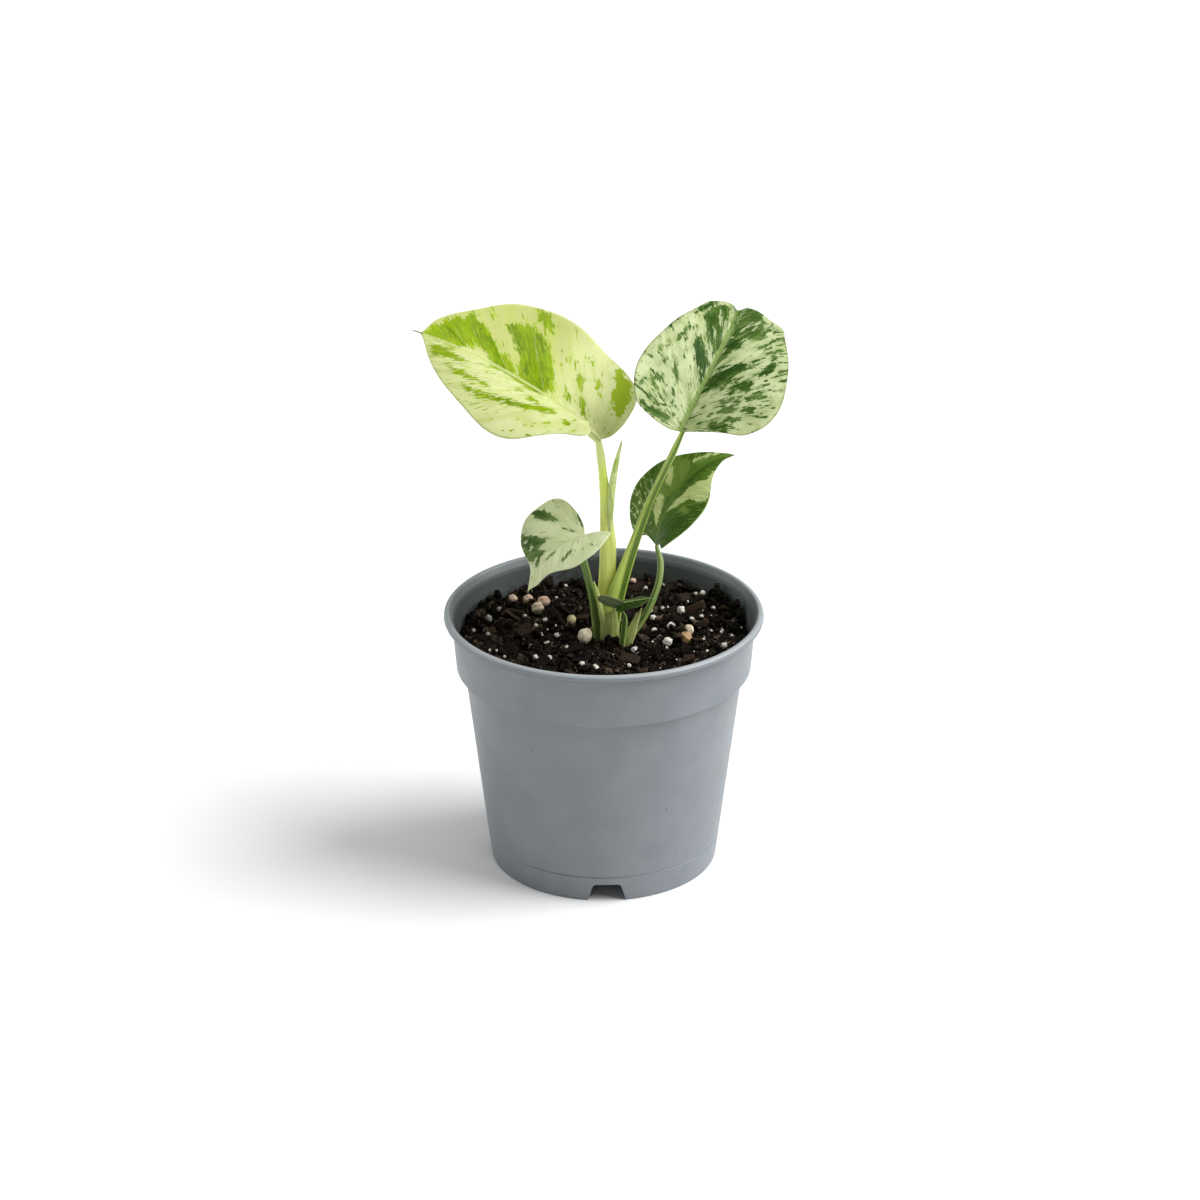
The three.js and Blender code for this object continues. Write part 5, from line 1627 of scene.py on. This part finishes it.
# %% Where the pebbles and the large grains lie
PEBBLES = [
    ((-34.7, 29.1), 2.0, "pink"), ((-28.9, 31.0), 2.4, "pink"), ((-23.0, 27.7), 2.5, "pink"),
    ((-25.1, 22.2), 2.7, "cream"), ((-12.2, 12.9), 2.1, "yellow"), ((-7.0, -8.5), 3.1, "cream"),
    ((30.9, -5.6), 2.7, "ochre"), ((32.0, 0.4), 2.1, "cream"), ((29.4, 20.0), 1.7, "white"),
    ((33.4, 13.0), 1.3, "white"), ((25.4, 6.7), 1.8, "white"), ((19.1, 3.1), 1.3, "white"),
    ((21.0, -2.0), 1.1, "white"), ((23.7, -10.9), 2.0, "white"), ((11.8, -18.4), 1.7, "white"),
    ((18.7, 12.5), 1.2, "white"), ((27.0, 46.0), 1.3, "white"), ((38.0, 33.6), 1.2, "white"),
    ((35.3, 34.0), 1.0, "white"), ((41.7, 20.7), 0.8, "white"), ((16.2, 42.8), 0.9, "white"),
    ((44.7, -15.0), 1.5, "white"), ((48.2, 0.0), 1.0, "white"), ((38.5, -13.2), 0.8, "white"),
    ((44.6, 5.3), 0.6, "white"), ((40.4, 1.1), 0.6, "white"), ((17.5, 19.5), 1.0, "white"),
    ((23.0, 47.5), 1.0, "grey"), ((11.4, 48.5), 1.4, "pink"), ((22.4, 22.4), 0.8, "white"),
    ((23.4, -13.5), 0.6, "white"), ((16.5, -27.1), 0.6, "white"), ((20.7, 30.8), 0.7, "white"),
    ((52.0, 7.5), 0.6, "white"), ((-43.6, 13.7), 1.4, "grey"), ((-39.6, 19.6), 1.1, "grey"),
    ((-43.5, -1.6), 1.1, "grey"), ((-49.0, 3.5), 0.8, "white"), ((-26.8, -10.9), 1.3, "grey"),
    ((-23.4, -1.4), 1.1, "white"), ((-22.2, 9.3), 0.9, "white"), ((-25.4, 2.6), 0.85, "white"),
    ((-17.6, -4.1), 1.1, "white"), ((-25.3, -21.4), 1.2, "white"), ((-20.1, -24.2), 1.1, "white"),
    ((-3.1, -32.2), 1.6, "white"), ((-8.0, -28.6), 1.0, "white"), ((-2.4, -12.7), 0.9, "white"),
    ((-13.8, -16.9), 0.75, "white"), ((-20.5, 49.0), 1.0, "white"), ((-42.2, -17.9), 0.7, "white"),
    ((-36.7, -18.8), 0.75, "white"), ((-30.0, 15.4), 0.9, "white"), ((-21.8, -10.4), 0.6, "white"),
    ((-16.7, 11.9), 1.1, "grey"),
]


# %% Places that keep off them and off the stalks
def free_places(rng, count, radius, limit=MIX_RADIUS, pebble_gap=0.0):
    """Random places on the mix, off the stalks and at a distance from the pebbles."""
    found = []
    while len(found) < count:
        x, y = rng.uniform(-limit, limit, 2)
        near_stalks = math.hypot(x - CROWN_X, y - CROWN_Y) < CROWN_CLEARANCE + radius
        near_pebble = any(math.hypot(x - a, y - b) < r + pebble_gap for (a, b), r, _ in PEBBLES)
        if math.hypot(x, y) < limit - radius and not near_stalks and not near_pebble:
            found.append((x, y))
    return found


def on_mix(x, y, lift):
    """A place over the mix, whose level sinks to the brim near the wall."""
    edge = float(soft_step(54.6 - math.hypot(x, y), 0, 4))
    return np.array([x, y, MIX_BRIM + (float(mix_height(x, y)) - MIX_BRIM) * edge + lift])


# %% Crumbs
def make_crumbs():
    rng = np.random.default_rng(11)
    lumps = []
    for x, y in free_places(rng, 1000, 0.5):
        size = 0.4 + 1.2 * rng.random() ** 2.4
        sizes = size * rng.uniform(0.5, 1.35, 3)
        lumps.append((on_mix(x, y, 0.2 * size), sizes, turn_matrix(rng), rng.random()))
    return make_lumps("mix_crumbs", lumps, crumb_skin, "potting_mix", 2, roughness=0.38, flat=True)


make_crumbs()


# %% Clods, also those heaped against the stalks
CROWN_MOUND = [
    ((0.6, -8.6, 89.6), 3.1), ((3.2, -8.8, 90.0), 2.9), ((-2.0, -8.0, 87.6), 2.5),
    ((1.8, -11.0, 87.4), 2.8), ((4.9, -9.6, 87.6), 1.9), ((-4.2, -8.4, 86.6), 2.2),
    ((-0.8, -10.8, 86.6), 2.3), ((5.2, -12.2, 86), 2.2), ((8.2, -9.4, 86.4), 1.9),
    ((11.2, -6.4, 87.2), 2.4), ((13.6, -3.6, 86.8), 2.6), ((12.2, -8.8, 86.2), 2.0),
    ((-10.4, -0.8, 86.4), 2.0),
]


def make_clods():
    """Large soft clods that break up the level of the mix, and the dust between them."""
    rng = np.random.default_rng(13)
    clods = []
    for x, y in free_places(rng, 90, 2.5):
        sizes = rng.uniform(1.8, 4.0) * rng.uniform(0.5, 1.1, 3)
        clods.append((on_mix(x, y, -0.3), sizes, turn_matrix(rng), rng.random() * 0.7))
    for place, size in CROWN_MOUND:
        clods.append((place, size * rng.uniform(0.55, 1.15, 3), turn_matrix(rng), rng.random() * 0.8))
    make_lumps("mix_clods", clods, crumb_skin, "potting_mix", 4, roughness=0.42)
    dust = []
    for x, y in free_places(rng, 3700, 0.3):
        sizes = rng.uniform(0.22, 0.6) * rng.uniform(0.6, 1.3, 3)
        dust.append((on_mix(x, y, rng.uniform(0.1, 1.2)), sizes, turn_matrix(rng), rng.random()))
    make_lumps("mix_dust", dust, crumb_skin, "potting_mix", 1, roughness=0.3, flat=True)


make_clods()


# %% Chips of bark
BIG_CHIPS = [
    ((-29.8, 0.1), (4.6, 2.4, 0.9), 0.7), ((33.2, 33.0), (5.0, 2.2, 1.0), 0.2),
    ((-33.5, 17.5), (3.6, 1.6, 0.8), 2.6), ((9.5, -26), (4.2, 2.2, 0.9), -0.5),
    ((30.5, -22), (3.8, 2, 0.9), 0.3),
]


def turned_by(*steps):
    """One turn made of several, each with its angle and its axis."""
    turn = Matrix.Identity(3)
    for angle, axis in steps:
        turn = turn @ Matrix.Rotation(angle, 3, axis)
    return np.array(turn)


def make_bark():
    rng = np.random.default_rng(23)
    lumps = []
    for (x, y), sizes, heading in BIG_CHIPS:
        turn = turned_by((heading, "Z"), (0.35, "X"))
        lumps.append((on_mix(x, y, 1.1), np.array(sizes), turn, 0.8))
    for x, y in free_places(rng, 265, 2.0, pebble_gap=0.6):
        length = 1.2 + 3.8 * rng.random() ** 1.6
        sizes = np.array([length, length * rng.uniform(0.25, 0.6), rng.uniform(0.25, 0.7)])
        rng.normal(size=4)  # passed over, which keeps the later draws and so the chips as they lie
        heading, lean = rng.uniform(0, 2 * math.pi), rng.normal() * 0.5
        turn = turned_by((heading, "Z"), (lean, "X"), (-lean, "Y"))
        lumps.append((on_mix(x, y, 0.7), sizes, turn, rng.random()))
    return make_lumps("mix_bark", lumps, bark_skin, "potting_mix", 3, roughness=0.1, blocky=0.5)


make_bark()


# %% Fibres in the mix
def make_fibres(count=70):
    rng = np.random.default_rng(31)
    stations = 16
    taper = 1.1 - np.linspace(-0.9, 0.9, stations) ** 2
    parts, tints = [], []
    for x, y in free_places(rng, count, 3.0, pebble_gap=0.5):
        length = rng.uniform(3, 9)
        heading = rng.uniform(0, 2 * math.pi)
        turn = rng.normal() * 0.9
        line = []
        for share in np.linspace(-0.5, 0.5, 6):
            angle = heading + turn * share * 2
            px = x + length * share * math.cos(angle)
            py = y + length * share * math.sin(angle)
            line.append(on_mix(px, py, 0.9 - 2.2 * share * share * rng.uniform(0.5, 1.5)))
        smooth = curve_through(line, np.linspace(0, 1, stations), reach_ends=True)
        thick = rng.uniform(0.1, 0.26)
        part = tube(smooth, (0.2, 0.3, 1), thick * taper[:, None] * np.ones(7))
        parts.append(part)
        tints.append(np.full(len(part[0]), rng.random()))
    piece = make_piece("mix_fibres", *joined(parts), [bark_skin], {"tint": np.concatenate(tints)})
    return settle(piece, "potting_mix", "potting_mix")


make_fibres()


# %% The finishes of perlite and pebbles
def perlite_finish():
    finish = Finish("perlite")
    where = finish.place()
    pits = finish.cells(where, 2.2)
    dirt = finish.cloud(where, 1.1, 4.0, 0.6)
    colour = dirt.rise(0.42, 0.72).blend(paint("#e8e5dc"), paint("#b3aa9a"))
    colour = (pits.rise(0.16, 0.05) * 0.5).blend(colour, paint("#857a69"))
    shell = finish.surface({
        "Base Color": colour, "Roughness": 0.8, "Subsurface Weight": 0.2, "Subsurface Scale": 0.001,
        "Normal": finish.bumps(pits, 0.35, 0.8),
    })
    return finish.done(shell)


def pebble_finish(name, body, stain, pit):
    finish = Finish(name)
    where = finish.place()
    broad = finish.cloud(where, 0.5, 4.0, 0.6)
    holes = finish.cells(where, 1.5)
    fine = finish.cloud(where, 3.0, 3.0, 0.6)
    colour = broad.rise(0.4, 0.7).blend(paint(body), paint(stain))
    colour = (holes.rise(0.24, 0.12) * broad.rise(0.48, 0.52)).blend(colour, paint(pit))
    colour = (fine.rise(0.6, 0.72) * 0.35).blend(colour, paint(pit))
    shell = finish.surface({
        "Base Color": colour, "Roughness": 0.62,
        "Normal": finish.bumps(fine - holes.rise(0.24, 0.1), 0.3),
    })
    return finish.done(shell)


# %% Small grains of perlite
def make_perlite():
    rng = np.random.default_rng(43)
    lumps = []
    for x, y in free_places(rng, 90, 0.8, pebble_gap=0.8):
        size = 0.25 + 0.5 * rng.random() ** 1.8
        lumps.append((on_mix(x, y, 0.75), size * rng.uniform(0.7, 1.15, 3), turn_matrix(rng), 0.5))
    finish = perlite_finish()
    return make_lumps("mix_perlite", lumps, finish, "potting_mix", 2, roughness=0.16, blocky=0.15)


make_perlite()


# %% Pebbles
PEBBLE_KINDS = {
    "cream": ("#e8dcc2", "#bda98a", "#3a2c20"), "pink": ("#dcbda9", "#b08c76", "#56443a"),
    "ochre": ("#c2a273", "#93703f", "#4c3521"), "white": ("#dedbd1", "#bdb6a8", "#857b6b"),
    "yellow": ("#d8cc9c", "#a3966a", "#5a4f33"), "grey": ("#a9a9a2", "#8a8983", "#5d5b55"),
}


def make_pebbles():
    """The smooth pebbles, and the large grains of perlite among them, which are white or grey."""
    rng = np.random.default_rng(7)
    for kind, codes in PEBBLE_KINDS.items():
        lumps = []
        for (x, y), radius, own in PEBBLES:
            if own == kind:
                sizes = radius * np.array([1, 0.9, 0.85]) * rng.uniform(0.93, 1.0, 3)
                lumps.append((on_mix(x, y, 0.55 * radius + 0.7), sizes, turn_matrix(rng), 0.5))
        finish = pebble_finish(f"pebble_{kind}", *codes)
        subdivisions, roughness = (3, 0.16) if kind in ("white", "grey") else (4, 0.07)
        make_lumps(f"pebbles_{kind}", lumps, finish, "potting_mix", subdivisions, roughness)


make_pebbles()


# %% The clods that cling to the wall
WALL_CLODS = [
    (44.2, 31.8, 98.0), (46, 29, 96.5), (47.5, 26.5, 95.5), (49.2, 22.5, 94.6), (50.4, 19.5, 95.2),
    (51.4, 17, 97.6), (52.2, 14, 94.0), (42.5, 34.2, 94.8), (37.1, 39.8, 91.8), (39.5, 30.5, 93.4),
    (42.5, 26.5, 94.2), (45, 21.5, 93.8), (47.4, 16, 93.6), (41.5, 17.5, 91.6), (30.6, 45, 94),
    (17.2, 51.5, 93.3), (-41.4, 34.0, 94.2), (-44.6, 30, 93.6), (-47.4, 25.5, 93.4),
    (-50.6, 18.5, 91.6),
]
CLOD_FOOT = 88
CLOD_SPACING = 1.1
CLOD_REACH = 53.5


def make_wall_clods():
    """Piles of lumps against the wall, each from the mix up to the height of its top."""
    rng = np.random.default_rng(59)
    lumps = []
    for x, y, top in WALL_CLODS:
        steps = max(2, int((top - 87) / CLOD_SPACING))
        for i in range(steps):
            share = i / steps
            z = CLOD_FOOT + (top - 1.3 - CLOD_FOOT) * share + 0.5
            side = rng.normal(size=2) * 1.5 * (1 - share)
            px, py = x * 0.985 + side[0], y * 0.985 + side[1]
            reach = min(1.0, CLOD_REACH / math.hypot(px, py))
            size = rng.uniform(1.0, 1.9) * (1.3 - 0.7 * share)
            sizes = size * rng.uniform(0.7, 1.1, 3)
            place = np.array([px * reach, py * reach, z])
            lumps.append((place, sizes, turn_matrix(rng), 0.35 * rng.random()))
    return make_lumps("wall_clods", lumps, crumb_skin, "potting_mix", 2, roughness=0.3)


make_wall_clods()

# %% [markdown]
# ## Floor, light and camera
#
# The plant stands on a white sweep that runs out of the picture. One broad, soft light comes from
# the right, two weak ones come from the left and from above, and an even white surround fills the
# shadows. A lamp on a stand would fall off across the floor, so the lights are far away and wide.

# %% The floor
floor_finish = Finish("white_floor")
floor_shell = floor_finish.surface({
    "Base Color": (0.93, 0.93, 0.93, 1.0), "Roughness": 0.9, "Specular IOR Level": 0.1,
})
floor_finish.done(floor_shell)
FLOOR_REACH = 6000
floor_corners = [(x * FLOOR_REACH, y * FLOOR_REACH, 0) for x, y in ((-1, -1), (1, -1), (1, 1), (-1, 1))]
floor = make_piece("floor", floor_corners, [[0, 1, 2, 3]], [floor_finish.material])


# %% The light
def make_sun(name, around, above, strength, spread_degrees):
    """A far light. Around is measured from +X towards +Y, and above from the floor, in degrees."""
    lamp = bpy.data.lights.new(name, "SUN")
    lamp.energy = strength
    lamp.angle = math.radians(spread_degrees)
    holder = bpy.data.objects.new(name, lamp)
    turn, rise = math.radians(around), math.radians(above)
    way = Vector((math.cos(turn) * math.cos(rise), math.sin(turn) * math.cos(rise), math.sin(rise)))
    holder.rotation_euler = way.to_track_quat("Z", "Y").to_euler()
    bpy.context.scene.collection.objects.link(holder)
    return holder


make_sun("key_light", around=-3, above=42, strength=4.0, spread_degrees=54)
make_sun("back_light", around=165, above=24, strength=0.9, spread_degrees=50)
make_sun("top_light", around=60, above=82, strength=0.8, spread_degrees=70)

scene = bpy.context.scene
world = bpy.data.worlds.new("white_surround")
world.use_nodes = True
world.node_tree.nodes["Background"].inputs["Color"].default_value = (1, 1, 1, 1)
world.node_tree.nodes["Background"].inputs["Strength"].default_value = 0.2
scene.world = world
scene.view_settings.view_transform = "Standard"

# %% The camera
lens = bpy.data.cameras.new("camera")
lens.lens = 112.26
lens.sensor_width = 36
lens.clip_start = 0.01
lens.clip_end = 50
camera = bpy.data.objects.new("camera", lens)
camera.location = Vector((-1.4, -1278.96, 673.73)) * MM
camera.rotation_euler = (math.radians(66), 0, 0)
scene.collection.objects.link(camera)
scene.camera = camera
